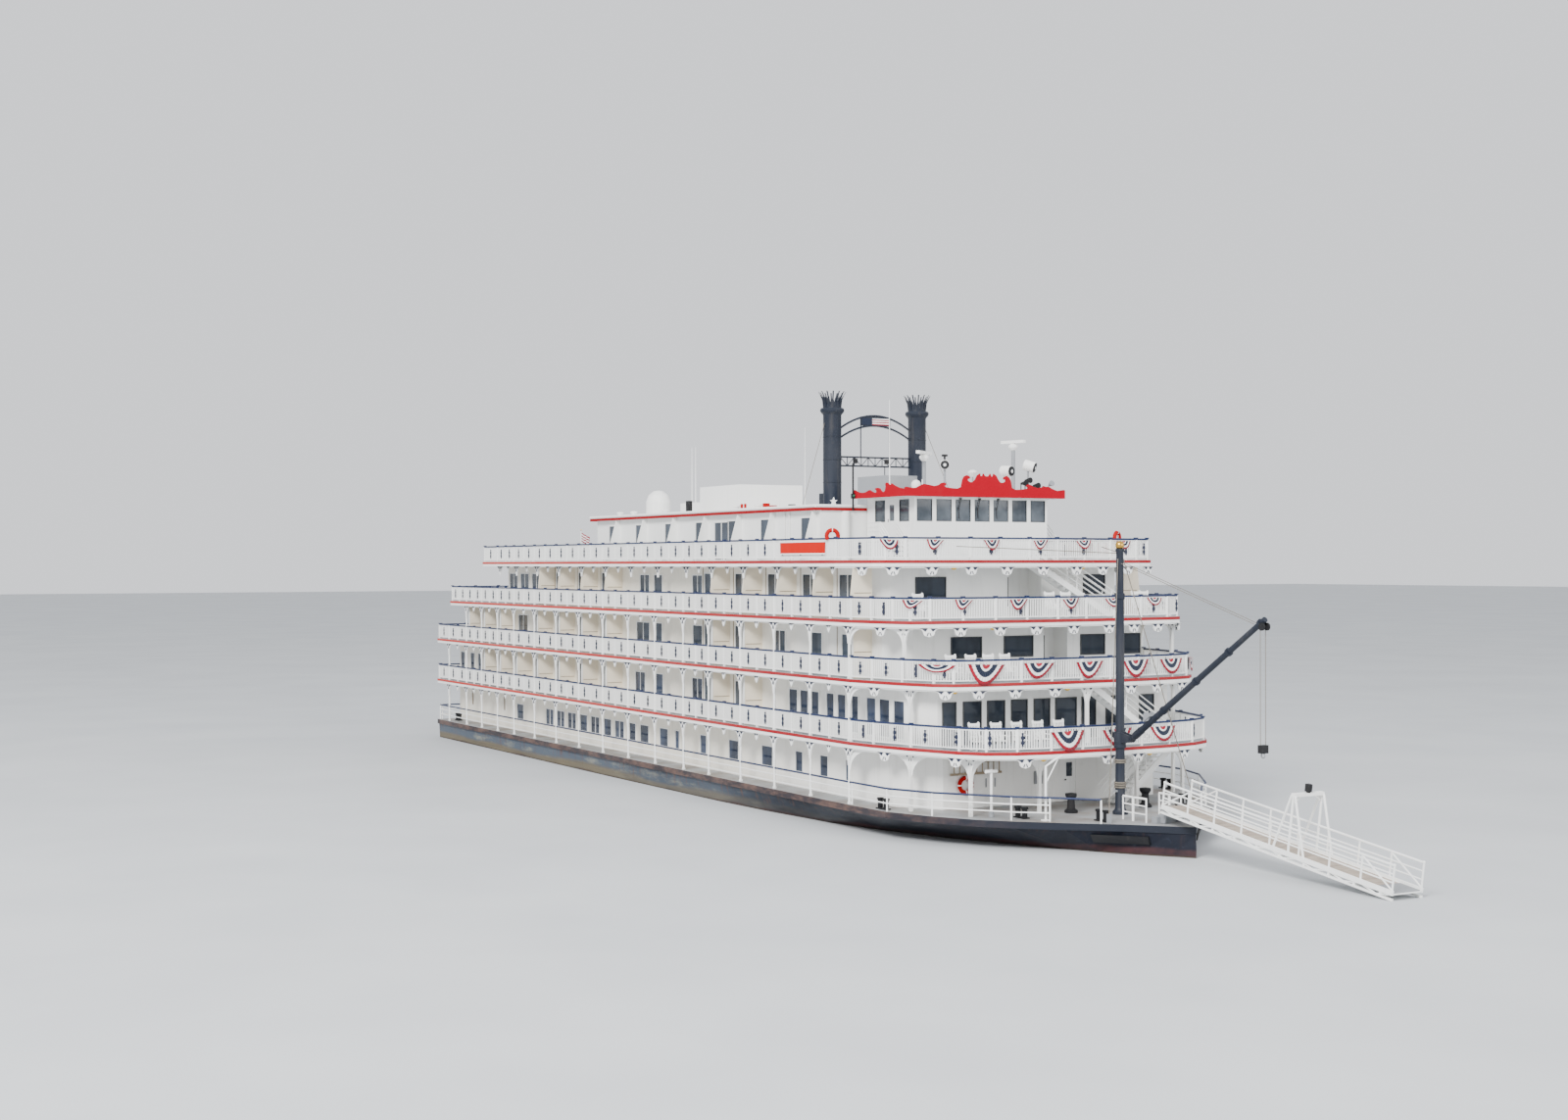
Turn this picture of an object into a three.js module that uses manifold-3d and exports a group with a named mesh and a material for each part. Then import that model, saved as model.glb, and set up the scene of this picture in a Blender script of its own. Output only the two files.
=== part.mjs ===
// Sternwheel paddle boat with five decks, as a 1:10 scale model, in millimetres, +Z up, bow to +X.
import * as THREE from 'three';
import { mergeVertices } from 'three/addons/utils/BufferGeometryUtils.js';
import Module from 'manifold-3d';

const wasm = await Module();
wasm.setup();

// All sizes below are metres of the full-size boat, and M turns them into millimetres of the model.
// Stations x count forward from the stern edge of the decks, y is to port, z is 0 at the main deck.
const M = 100;
const GAP = 0.003;

// Hull
const DRAFT_DEPTH = 3.05;
const DECK_HALF = 8.78;
const GUARD_DEPTH = 0.3;
const GUARD_WIDE = 0.12;
const STERN_X = 0.25;
const RAKE_END_X = 7;
const RAKE_Z = -1.35;
// The edges of the deck and of the hull near the waterline, as station and half-breadth.
const DECK_LINE = [
  [30, 8.775], [44, 8.77], [49, 8.76], [54, 8.75], [58, 8.73], [60.8, 8.6], [63.1, 7.75], [65.1, 6.65],
  [66.4, 5.55], [67.9, 3.95], [69.5, 2.05], [70.9, 0.75],
];
const WATER_Z = -1.3;
const WATER_LINE = [
  [30, 8.6], [44, 8.45], [49, 8.2], [54, 7.7], [57.6, 6.95], [60.6, 6.0], [63.2, 4.95], [65.4, 3.95],
  [67, 3.1], [68.3, 2.4], [69.7, 1.5], [70.9, 0.6],
];
const STEM_X = 71.7;

// Decks above the main deck: height, slab edge depth, stern edge, and the starboard half of the
// front edge as station and half-breadth, ending on the centreline.
const EDGE_HALF = 8.68;
const SLAB = 0.3;
const DECKS = {
  deck2: {
    z: 2.9, stern: 0,
    front: [
      [57.9, 8.68], [59.5, 8.45], [61.7, 7.84], [64.2, 6.95], [65.2, 6.2], [65.8, 5], [66.1, 3.4], [66.25, 0],
    ],
  },
  deck3: {
    z: 5.79, stern: 0,
    front: [
      [57.9, 8.68], [59.3, 8.4], [61.2, 7.98], [62.8, 7.35], [63.4, 6.7], [63.7, 5.6], [63.9, 3.4], [63.98, 0],
    ],
  },
  deck4: {
    z: 8.53, stern: 2.78,
    front: [[57.9, 8.68], [60.6, 8.1], [61.5, 7.75], [61.8, 6.9], [62.05, 3.5], [62.2, 0]],
  },
  deck5: {
    z: 11.27, stern: 9.36,
    front: [[56.5, 8.68], [58.9, 8.1], [59.35, 7.7], [59.6, 6.8], [59.9, 3.4], [60, 0]],
  },
};
const LEVELS = Object.keys(DECKS);

// Posts along the sides stand at bays of two lengths, counted forward from the first post.
const FIRST_POST = 2.21;
const LONG_BAY = 3.61;
const SHORT_BAY = 3.03;
const BAYS = [
  LONG_BAY, SHORT_BAY, SHORT_BAY, SHORT_BAY, LONG_BAY, LONG_BAY, LONG_BAY, LONG_BAY,
  LONG_BAY, LONG_BAY, LONG_BAY, SHORT_BAY, LONG_BAY, LONG_BAY, LONG_BAY, LONG_BAY,
];
const POST = 0.14;
const FRAME_OUT = 8.64;
const FRAME_THICK = 0.12;
const RAIL_HIGH = 1.07;
const TOP_RAIL = 0.08;
const FOOT_RAIL = 0.1;
const BEAM = 0.14;
const BRACKET = [0.55, 0.6];
const PENDANT = [0.24, 0.3];

// Houses: the side wall's half-breadth, the aft wall, and the front wall with its cut corner.
const HOUSES = {
  main_house: { floor: 0, top: 'deck2', half: 7.33, aft: 0.9, front: 61.6, cut: [2.2, 1.3] },
  deck2_house: { floor: 'deck2', top: 'deck3', half: 7.33, aft: 0.9, front: 62, cut: [1.5, 0.75] },
  deck3_house: { floor: 'deck3', top: 'deck4', half: 7.33, aft: 2.86, front: 60, cut: [1.5, 0.75] },
  deck4_house: { floor: 'deck4', top: 'deck5', half: 7.33, aft: 10.6, front: 58, cut: [1.2, 0.75] },
};
const SUN_HOUSE = { half: 6.6, aft: 24, front: 51.55, high: 2.5 };
const SUN_ROOF = { half: 6.9, aft: 23.6, front: 51.6, thick: 0.2 };

// Pilothouse
const PILOT = { aft: 51.66, front: 56, half: 3.93, floor: 12.2, top: 14.34, wall: 0.12 };
const PILOT_SILL = 13.18;
const PILOT_HEAD = 14.21;
const FRONT_LIGHT = { count: 7, wide: 0.84, pitch: 1.12 };
// Side windows and the door opening: aft edge, forward edge, lower edge.
const SIDE_LIGHTS = [[52.42, 53.3, 13.18], [54.66, 55.5, 13.18]];
const SIDE_DOOR = { aft: 53.52, front: 54.36, high: 1.95, thick: 0.06 };
const PILOT_ROOF = { aft: 51.66, front: 56.44, half: 4.73, thick: 0.12 };
const CREST = { thick: 0.1 };

// Stacks
const STACK = { x: 46, y: 2.66, r: 0.485, rim: 19.21, rimR: 0.64, bore: 0.4, tip: 20.2, tips: 14 };
// The two arches between the stacks, as the height at the stacks and at the middle.
const ARCHES = [[18.36, 19.08], [17.86, 18.55]];
const ARCH = { bar: 0.12, thick: 0.12, upright: 0.9 };
const TRUSS = { low: 16.28, high: 16.8, bar: 0.09 };

// Bow gear
const MAST = { x: 66.65, r: 0.19, top: 11.8, ball: 0.2 };
const SWIVEL = { low: 3.15, high: 3.65, bore: 0.198, wall: 0.08, cheek: [0.1, 0.15] };
// The boom's heel pin and tip, as x and z.
const BOOM = { heel: [67.45, 3.38], tip: [75.85, 8.84], r: 0.15, pin: 0.04, bore: 0.048, eye: 0.09 };
// The landing stage's hinge pin and outer end, its floor above the pin, and its parts.
const STAGE = {
  hinge: [70.35, 0.6], end: [83.3, -1.2], floor: 0.18, half: 0.78, deck: 0.08, girder: 0.28, rail: 1.05,
  bay: 1.62, bail: 7.6,
};
const STAGE_PIN = { r: 0.045, bore: 0.054, lug: [0.2, 0.3], arm: [0.42, 0.5] };

// Stern gear
const WHEEL = {
  x: -4.1, z: 1.05, r: 3.05, half: 3.65, buckets: 16, bucket: [0.62, 0.07], rings: [-3.3, 0, 3.3], rim: 0.14,
  hub: 0.45, shaft: 0.18,
};
const WHEEL_BEAM = { y: 4.25, wide: 0.5, high: 0.62, tail: 0.6 };
const RUDDER = { x: 1, y: 2.4, ahead: 1.4, behind: 0.9, low: -2.95, high: -1.98, thick: 0.12, stock: 0.1 };

// The origin lies on the hull's flat bottom, at the middle of the whole length.
const ORIGIN_X = 38.16;

// Finishes
const FINISH = {
  white: { color: 0xf1efe9, roughness: 0.55, metalness: 0 },
  hull: { color: 0x20242c, roughness: 0.6, metalness: 0.2 },
  red: { color: 0xc02630, roughness: 0.5, metalness: 0 },
  charcoal: { color: 0x262c36, roughness: 0.55, metalness: 0.3 },
  steel: { color: 0x8d9092, roughness: 0.5, metalness: 0.6 },
};

// Shapes
const boat = new THREE.Group();
boat.position.set(-ORIGIN_X * M, 0, DRAFT_DEPTH * M);

function piece(name, geometry, finish) {
  const mesh = new THREE.Mesh(geometry, new THREE.MeshStandardMaterial(FINISH[finish]));
  mesh.name = name;
  boat.add(mesh);
  return mesh;
}

function bare(geometry) {
  const copy = geometry.clone();
  copy.deleteAttribute('normal');
  copy.deleteAttribute('uv');
  return mergeVertices(copy, 1e-4);
}

function solid(geometry) {
  const merged = bare(geometry);
  const mesh = new wasm.Mesh({
    numProp: 3,
    vertProperties: new Float32Array(merged.attributes.position.array),
    triVerts: new Uint32Array(merged.index.array),
  });
  return new wasm.Manifold(mesh);
}

function surface(body) {
  const mesh = body.getMesh();
  const geometry = new THREE.BufferGeometry();
  const points = new Float32Array(mesh.numVert * 3);
  for (let i = 0; i < mesh.numVert; i += 1) {
    for (let k = 0; k < 3; k += 1) points[3 * i + k] = mesh.vertProperties[mesh.numProp * i + k];
  }
  geometry.setAttribute('position', new THREE.BufferAttribute(points, 3));
  geometry.setIndex(new THREE.BufferAttribute(new Uint32Array(mesh.triVerts), 1));
  return geometry;
}

function join(...geometries) {
  return surface(geometries.map(solid).reduce((whole, next) => whole.add(next)));
}

function cut(geometry, ...tools) {
  return surface(tools.map(solid).reduce((whole, tool) => whole.subtract(tool), solid(geometry)));
}

function box(x, y, z) {
  const block = new THREE.BoxGeometry((x[1] - x[0]) * M, (y[1] - y[0]) * M, (z[1] - z[0]) * M);
  return block.translate((x[0] + x[1]) / 2 * M, (y[0] + y[1]) / 2 * M, (z[0] + z[1]) / 2 * M);
}

// An outline in its own plane, raised to its thickness, less the holes in it.
function plate(points, thick, holes = []) {
  const raise = (outline, low, high) => {
    const shape = new THREE.Shape(outline.map(([a, b]) => new THREE.Vector2(a * M, b * M)));
    const raised = new THREE.ExtrudeGeometry(shape, { depth: (high - low) * M, bevelEnabled: false });
    return raised.translate(0, 0, low * M);
  };
  const whole = raise(points, 0, thick);
  return holes.length > 0 ? cut(whole, ...holes.map((hole) => raise(hole, -1, thick + 1))) : whole;
}

// A plan outline of [x, y] points, raised from z[0] to z[1].
function slab(points, z, holes) {
  return plate(points, z[1] - z[0], holes).translate(0, 0, z[0] * M);
}

// An outline of [x, z] points in a lengthwise plane, from y[0] to y[1].
function sidePlate(points, y, holes) {
  return plate(points, y[1] - y[0], holes).rotateX(Math.PI / 2).translate(0, y[1] * M, 0);
}

// An outline of [y, z] points in a crosswise plane, from x[0] to x[1].
function crossPlate(points, x, holes) {
  const turn = new THREE.Matrix4().makeBasis(
    new THREE.Vector3(0, 1, 0), new THREE.Vector3(0, 0, 1), new THREE.Vector3(1, 0, 0));
  return plate(points, x[1] - x[0], holes).applyMatrix4(turn).translate(x[0] * M, 0, 0);
}

// A span of y on the port side, or its mirror image to starboard.
function mirrored(span, sign) {
  return sign > 0 ? span : [-span[1], -span[0]];
}

// A ring of points round a centre.
function ringOf(a, b, r, count) {
  return Array.from({ length: count }, (_, i) => [
    a + r * Math.cos(2 * Math.PI * i / count), b + r * Math.sin(2 * Math.PI * i / count)]);
}

// A round bar between two [x, y, z] points.
function bar(from, to, r, sides = 8, endR = r) {
  const start = new THREE.Vector3(...from).multiplyScalar(M);
  const end = new THREE.Vector3(...to).multiplyScalar(M);
  const rod = new THREE.CylinderGeometry(endR * M, r * M, start.distanceTo(end), sides);
  const turn = new THREE.Quaternion().setFromUnitVectors(
    new THREE.Vector3(0, 1, 0), end.clone().sub(start).normalize());
  const middle = start.add(end).multiplyScalar(0.5);
  return rod.applyQuaternion(turn).translate(middle.x, middle.y, middle.z);
}

// A solid through plan outlines of equal count, each at its own height, from the lowest up.
function stacked(rings) {
  const count = rings[0].length;
  const positions = [];
  const faces = [];
  for (const ring of rings) {
    for (const [x, y, z] of ring) positions.push(x * M, y * M, z * M);
  }
  for (let level = 0; level < rings.length - 1; level += 1) {
    for (let i = 0; i < count; i += 1) {
      const a = level * count + i;
      const b = level * count + (i + 1) % count;
      faces.push(a, b, b + count, a, b + count, a + count);
    }
  }
  const last = (rings.length - 1) * count;
  const lid = (ring) => THREE.ShapeUtils.triangulateShape(ring.map(([x, y]) => new THREE.Vector2(x, y)), []);
  for (const [a, b, c] of lid(rings[0])) faces.push(a, c, b);
  for (const [a, b, c] of lid(rings[rings.length - 1])) faces.push(last + a, last + b, last + c);
  const geometry = new THREE.BufferGeometry();
  geometry.setAttribute('position', new THREE.Float32BufferAttribute(positions, 3));
  geometry.setIndex(faces);
  return geometry;
}

// A closed outline from its starboard half, given from stern to bow.
function bothHalves(half) {
  const port = half.filter(([, y]) => y > 0).reverse();
  return [...half.map(([x, y]) => [x, -y]), ...port];
}

// Hull
function hull() {
  // One ring of the shell at its height: how far it lies inside its line, and how far it draws back.
  const ring = (line, z, inset, back) => {
    const half = [[STERN_X, line[0][1] + 0.02 - inset]];
    for (const [x, y] of line) {
      half.push([x - back * (x / STEM_X), Math.max(y - inset * (y / DECK_HALF), 0.15)]);
    }
    half.push([STEM_X - back * 0.7, 0]);
    return bothHalves(half).map(([x, y]) => [x, y, z]);
  };
  const body = stacked([
    ring(WATER_LINE, -DRAFT_DEPTH, 0.6, 2.4), ring(WATER_LINE, -DRAFT_DEPTH + 0.35, 0.2, 1.7),
    ring(WATER_LINE, WATER_Z, 0, 0), ring(DECK_LINE, -GUARD_DEPTH - 0.02, GUARD_WIDE, 0.06),
    ring(DECK_LINE, -GUARD_DEPTH, 0, 0), ring(DECK_LINE, 0, 0, 0),
  ]);
  const steep = (DRAFT_DEPTH + RAKE_Z) / (RAKE_END_X - STERN_X);
  const rake = [
    [STERN_X - 1, -DRAFT_DEPTH - 1], [RAKE_END_X + 1 / steep, -DRAFT_DEPTH - 1], [STERN_X - 1, RAKE_Z + steep]];
  return cut(body, sidePlate(rake, [-DECK_HALF - 1, DECK_HALF + 1]));
}
piece('hull', hull(), 'hull');

// Decks
const under = (level) => DECKS[level].z - SLAB;
function deckOutline(level, inset = 0) {
  const { stern, front } = DECKS[level];
  const edge = front.map(([x, y]) => [x - inset, Math.max(y - inset, 0)]);
  return bothHalves([[stern + inset, EDGE_HALF - inset], ...edge]);
}

// Posts under the front of each deck, as station and y.
const FRONT_POSTS = {
  deck2: {
    foot: 0, at: [[61.28, -7.54], [61.28, 7.54], [64.19, -6.3], [64.19, 5.64], [64.4, -2.75], [64.4, 2.75]],
  },
  deck3: { foot: DECKS.deck2.z, at: [[61.28, -7.54], [61.28, 7.54], [63.7, 0.45]] },
  deck4: { foot: DECKS.deck3.z, at: [[61, -7.7], [61, 7.7]] },
};
function frontPosts(level) {
  const { foot, at } = FRONT_POSTS[level];
  return at.map(([x, y]) => box(
    [x - POST / 2, x + POST / 2], [y - POST / 2, y + POST / 2], [foot + GAP, under(level) + 0.1]));
}
// Stair wells through the deck slabs, as x, y and the deck.
const STAIRS = [
  { name: 'stair_main_deck_to_deck2', x: [63.3, 64.1], foot: 1.9, top: 5.2, from: 0, to: 'deck2' },
  { name: 'stair_deck2_to_deck3', x: [62.65, 63.45], foot: 5, top: 0.9, from: DECKS.deck2.z, to: 'deck3' },
  { name: 'stair_deck4_to_deck5', x: [58.6, 59.4], foot: 5.5, top: 0.9, from: DECKS.deck4.z, to: 'deck5' },
];
const WELL_MARGIN = 0.12;
function deckSlab(level) {
  const wells = STAIRS.filter((stair) => stair.to === level).map(({ x, foot, top }) => {
    const low = Math.min((foot + top) / 2, top) - (foot > top ? WELL_MARGIN : 0);
    const high = Math.max((foot + top) / 2, top) + (foot > top ? 0 : WELL_MARGIN);
    const [aft, fore] = [x[0] - WELL_MARGIN, x[1] + WELL_MARGIN];
    return [[aft, low], [fore, low], [fore, high], [aft, high]];
  });
  const plate = slab(deckOutline(level), [under(level), DECKS[level].z], wells);
  return FRONT_POSTS[level] ? join(plate, ...frontPosts(level)) : plate;
}
for (const level of LEVELS) piece(level, deckSlab(level), 'white');

// Houses
const DOOR_EDGE = 0.006;
function housePlan({ half, aft, front, cut: [back, inward] }) {
  return bothHalves([[aft, half], [front - back, half], [front, half - inward]]);
}
const levelZ = (level) => (level === 0 ? 0 : DECKS[level].z);
// Recesses in the front walls, as y, depth and height above the floor.
const RECESSES = {
  main_house: { y: [0.68, 1.42], deep: 0.1, high: 2.05 },
  deck3_house: { y: [0.75, 2.14], deep: 1.1, high: 9 },
  deck4_house: { y: [0.13, 2.1], deep: 1.1, high: 9 },
};
for (const [name, house] of Object.entries(HOUSES)) {
  const floor = levelZ(house.floor);
  const walls = slab(housePlan(house), [floor + GAP, under(house.top) - GAP]);
  const recess = RECESSES[name];
  const hollow = recess && box(
    [house.front - recess.deep, house.front + 1], recess.y, [floor - 1, floor + recess.high]);
  piece(name, recess ? cut(walls, hollow) : walls, 'white');
}
const MAIN_DOOR = { thick: 0.06, light: { side: 0.2, low: 1.15, high: 1.8 } };
function mainDoor() {
  const { y, deep, high } = RECESSES.main_house;
  const { thick, light } = MAIN_DOOR;
  const x = [HOUSES.main_house.front - deep + GAP, HOUSES.main_house.front - deep + GAP + thick];
  const leaf = box(x, [y[0] + DOOR_EDGE, y[1] - DOOR_EDGE], [0.02, high - DOOR_EDGE]);
  return cut(leaf, box([x[1] - 0.02, x[1] + 1], [y[0] + light.side, y[1] - light.side], [light.low, light.high]));
}
piece('main_deck_door', mainDoor(), 'white');
const sunTop = DECKS.deck5.z + SUN_HOUSE.high;
piece('sun_deck_house', box(
  [SUN_HOUSE.aft, SUN_HOUSE.front], [-SUN_HOUSE.half, SUN_HOUSE.half],
  [DECKS.deck5.z + GAP, sunTop - GAP]), 'white');
piece('sun_deck_roof', box(
  [SUN_ROOF.aft, SUN_ROOF.front], [-SUN_ROOF.half, SUN_ROOF.half],
  [sunTop, sunTop + SUN_ROOF.thick]), 'white');

// Side frames with their posts, arched brackets and rails
const posts = BAYS.reduce((list, bay) => [...list, list[list.length - 1] + bay], [FIRST_POST]);
const frontStart = (level) => DECKS[level].front[0][0] - 0.1;
function bayArch(aft, fore, low, high) {
  const [reach, drop] = BRACKET;
  const [halfWide, deep] = PENDANT;
  const middle = (aft + fore) / 2;
  return [
    [aft, low], [fore, low], [fore, high - drop], [fore - reach, high],
    [middle + halfWide, high], [middle, high - deep], [middle - halfWide, high],
    [aft + reach, high], [aft, high - drop],
  ];
}
function sideFrame(floor, top, stern, side) {
  const low = floor + GAP;
  const high = under(top) - GAP;
  const rail = floor + RAIL_HIGH;
  const fore = frontStart('deck2');
  const aft = stern + 0.06;
  const first = posts.find((x) => x > aft + POST);
  const arched = posts.filter((x) => x >= first);
  const outline = [
    [aft, low], [fore, low], [fore, rail], [posts[posts.length - 1] + POST / 2, rail],
    [posts[posts.length - 1] + POST / 2, high], [first - POST / 2, high], [first - POST / 2, rail], [aft, rail],
  ];
  const holes = [];
  arched.slice(0, -1).forEach((x, i) => {
    holes.push(bayArch(x + POST / 2, arched[i + 1] - POST / 2, rail, high - BEAM));
    if (floor === 0) {
      holes.push([
        [x + POST / 2, FOOT_RAIL], [arched[i + 1] - POST / 2, FOOT_RAIL],
        [arched[i + 1] - POST / 2, rail - TOP_RAIL], [x + POST / 2, rail - TOP_RAIL]]);
    }
  });
  const y = [FRAME_OUT - FRAME_THICK, FRAME_OUT];
  return sidePlate(outline, side > 0 ? y : [-y[1], -y[0]], holes);
}
const SIDES = { starboard: -1, port: 1 };
const FRAMES = [
  { name: 'main_deck_side_frame', floor: 0, top: 'deck2', stern: 0.2 },
  { name: 'deck2_side_frame', floor: DECKS.deck2.z, top: 'deck3', stern: DECKS.deck2.stern },
  { name: 'deck3_side_frame', floor: DECKS.deck3.z, top: 'deck4', stern: DECKS.deck3.stern },
];
for (const { name, floor, top, stern } of FRAMES) {
  for (const [side, sign] of Object.entries(SIDES)) {
    piece(`${name}_${side}`, sideFrame(floor, top, stern, sign), 'white');
  }
}

// Front rails follow the edge of each deck, stern rails close the deck ends, and the two upper
// decks have one rail all round.
const RAIL_IN = EDGE_HALF - FRAME_OUT;
const closedEdge = (level, inset) => bothHalves([
  [DECKS[level].stern + inset, EDGE_HALF - inset],
  ...DECKS[level].front.map(([x, y]) => [x - inset * 0.8, Math.max(y - inset, 0)]),
]);
function frontRail(level) {
  const edge = (inset) => [
    [frontStart(level) + GAP, EDGE_HALF - inset],
    ...DECKS[level].front.map(([x, y]) => [x - inset * 0.8, Math.max(y - inset, 0)]),
  ];
  const { z } = DECKS[level];
  const ring = [...bothHalves(edge(RAIL_IN)), ...bothHalves(edge(RAIL_IN + FRAME_THICK)).reverse()];
  return slab(ring, [z + GAP, z + RAIL_HIGH]);
}
for (const level of ['deck2', 'deck3']) {
  const { z, stern } = DECKS[level];
  const half = FRAME_OUT - FRAME_THICK - GAP;
  piece(`${level}_front_rail`, frontRail(level), 'white');
  piece(`${level}_stern_rail`, box(
    [stern + 0.06, stern + 0.06 + FRAME_THICK], [-half, half], [z + GAP, z + RAIL_HIGH]), 'white');
}
for (const level of ['deck4', 'deck5']) {
  const { z } = DECKS[level];
  piece(`${level}_rail`, slab(
    closedEdge(level, RAIL_IN), [z + GAP, z + RAIL_HIGH], [closedEdge(level, RAIL_IN + FRAME_THICK)]), 'white');
}

// Main deck rails at the bow and stern: posts as station and half-breadth, with open bars between.
const BOW_RAIL = [[57.86, 8.56], [60.8, 8.5], [63.1, 7.6], [66.04, 5.45], [67.16, 4.22], [68.82, 2.76]];
const OPEN_RAIL = { post: 0.05, top: 0.045, bar: 0.03, bars: [0.35, 0.7] };
function bowRail(sign) {
  const { post, top, bar: thin, bars } = OPEN_RAIL;
  const parts = BOW_RAIL.map(([x, y]) => bar([x, sign * y, GAP], [x, sign * y, RAIL_HIGH], post, 6));
  BOW_RAIL.slice(1).forEach(([x, y], i) => {
    const [x0, y0] = BOW_RAIL[i];
    const between = (z, r) => parts.push(bar([x0, sign * y0, z], [x, sign * y, z], r, 6));
    between(RAIL_HIGH - top, top);
    if (i < BOW_RAIL.length - 2) bars.forEach((z) => between(z, thin));
  });
  return join(...parts);
}
for (const [side, sign] of Object.entries(SIDES)) piece(`main_deck_bow_rail_${side}`, bowRail(sign), 'white');
function sternRail() {
  const half = FRAME_OUT - FRAME_THICK - GAP;
  const bays = 6;
  const bay = (2 * half - POST / 2) / bays;
  const holes = Array.from({ length: bays }, (_, i) => {
    const [y0, y1] = [-half + POST / 2 + i * bay, -half + (i + 1) * bay];
    return [[y0, FOOT_RAIL], [y1, FOOT_RAIL], [y1, RAIL_HIGH - TOP_RAIL], [y0, RAIL_HIGH - TOP_RAIL]];
  });
  const outline = [[-half, GAP], [half, GAP], [half, RAIL_HIGH], [-half, RAIL_HIGH]];
  return crossPlate(outline, [STERN_X + 0.06, STERN_X + 0.12], holes);
}
piece('main_deck_stern_rail', sternRail(), 'white');

// Stairs
const STEP_RISE = 0.2;
function stair({ x, foot, top, from, to }) {
  const rise = DECKS[to].z - from - 0.15;
  const steps = Math.round(rise / STEP_RISE);
  const run = (top - foot) / steps;
  const points = [[foot, from + GAP]];
  for (let i = 1; i <= steps; i += 1) {
    points.push([foot + run * (i - 1), from + rise / steps * i], [foot + run * i, from + rise / steps * i]);
  }
  points.push([top, from + rise - 0.35], [foot + run * 1.6, from + GAP]);
  return crossPlate(run > 0 ? points.reverse() : points, x);
}
for (const flight of STAIRS) piece(flight.name, stair(flight), 'white');

// Pilothouse
function pilothouse() {
  const { aft, front, half, floor, top, wall } = PILOT;
  const block = box([aft, front], [-half, half], [DECKS.deck5.z + GAP, top - GAP]);
  const room = box([aft + wall, front - wall], [wall - half, half - wall], [floor, top + 1]);
  const lights = [];
  for (let i = 0; i < FRONT_LIGHT.count; i += 1) {
    const y = (i - (FRONT_LIGHT.count - 1) / 2) * FRONT_LIGHT.pitch;
    lights.push(box(
      [front - 0.5, front + 0.5], [y - FRONT_LIGHT.wide / 2, y + FRONT_LIGHT.wide / 2], [PILOT_SILL, PILOT_HEAD]));
  }
  for (const [x0, x1, low] of SIDE_LIGHTS) {
    lights.push(box([x0, x1], [-half - 1, half + 1], [low, PILOT_HEAD]));
  }
  const { aft: doorAft, front: doorFront, high } = SIDE_DOOR;
  lights.push(box([doorAft, doorFront], [-half - 1, half + 1], [floor, floor + high]));
  return cut(block, room, ...lights);
}
piece('pilothouse', pilothouse(), 'white');
const DOOR_LIGHT = { side: 0.2, low: 1.0, high: 1.78 };
for (const [side, sign] of Object.entries(SIDES)) {
  const { aft, front, high, thick } = SIDE_DOOR;
  const y = [PILOT.half - thick, PILOT.half].map((v) => v * sign).sort((a, b) => a - b);
  const z = [PILOT.floor + DOOR_EDGE, PILOT.floor + high - DOOR_EDGE];
  const leaf = box([aft + DOOR_EDGE, front - DOOR_EDGE], y, z);
  const light = box(
    [aft + DOOR_LIGHT.side, front - DOOR_LIGHT.side], [y[0] - 1, y[1] + 1],
    [PILOT.floor + DOOR_LIGHT.low, PILOT.floor + DOOR_LIGHT.high]);
  piece(`pilothouse_door_${side}`, cut(leaf, light), 'white');
}
const CONSOLE = { x: [55.0, 55.6], half: 2.4, high: 1.05 };
piece('pilothouse_console', box(
  CONSOLE.x, [-CONSOLE.half, CONSOLE.half], [PILOT.floor + GAP, PILOT.floor + CONSOLE.high]), 'charcoal');
for (const [side, sign] of Object.entries(SIDES)) {
  const [inner, outer] = [PILOT.half + 0.02, PILOT.half + 1.1];
  const rise = PILOT.floor - DECKS.deck5.z;
  const low = DECKS.deck5.z + GAP;
  const aft = SIDE_DOOR.aft - 0.05;
  const foot = SIDE_DOOR.front + 0.15 + 4 * 0.27;
  const profile = [[aft, low], [foot, low]];
  for (let i = 1; i <= 4; i += 1) {
    const z = low + rise / 4 * i - 0.05;
    profile.push([foot - (i - 1) * 0.27, z], [foot - i * 0.27, z]);
  }
  profile.push([aft, low + rise - 0.05]);
  piece(`pilothouse_steps_${side}`, sidePlate(profile, mirrored([inner, outer], sign)), 'white');
}
const roofHalf = PILOT_ROOF.half - CREST.thick - GAP;
piece('pilothouse_roof', box(
  [PILOT_ROOF.aft, PILOT_ROOF.front - CREST.thick - GAP], [-roofHalf, roofHalf],
  [PILOT.top, PILOT.top + PILOT_ROOF.thick]), 'white');

// Crest boards round the pilothouse roof: the front's outline as y and z over the port half, from
// the outer end to the crown, and the side's as x and z.
const CREST_FRONT = [
  [4.73, 14.34], [4.73, 14.76], [4.1, 14.74], [3.66, 14.93], [3.05, 14.84], [2.66, 14.99], [2.38, 14.96],
  [2.5, 14.84], [2.1, 14.76], [1.7, 14.74], [1.5, 14.82], [1.42, 15.18], [1.32, 15.34], [1.18, 15.4], [0.98, 15.28],
  [1.12, 15.2], [0.98, 15.06], [0.8, 15.08], [0.68, 15.2], [0.4, 15.5], [0.26, 15.36], [0.2, 15.5], [0, 15.36],
];
const CREST_SIDE = [
  [51.7, 14.34], [51.7, 14.66], [52.2, 14.63], [52.89, 14.74], [53.42, 14.64], [53.73, 14.81],
  [54.2, 14.78], [54.25, 14.69], [54.43, 14.6], [54.72, 14.68], [54.74, 14.86], [54.55, 14.93],
  [54.62, 15.02], [54.9, 15.01], [55.13, 14.94], [55.24, 14.82], [55.82, 14.7], [56.34, 14.64],
  [56.34, 14.34],
];
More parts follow.
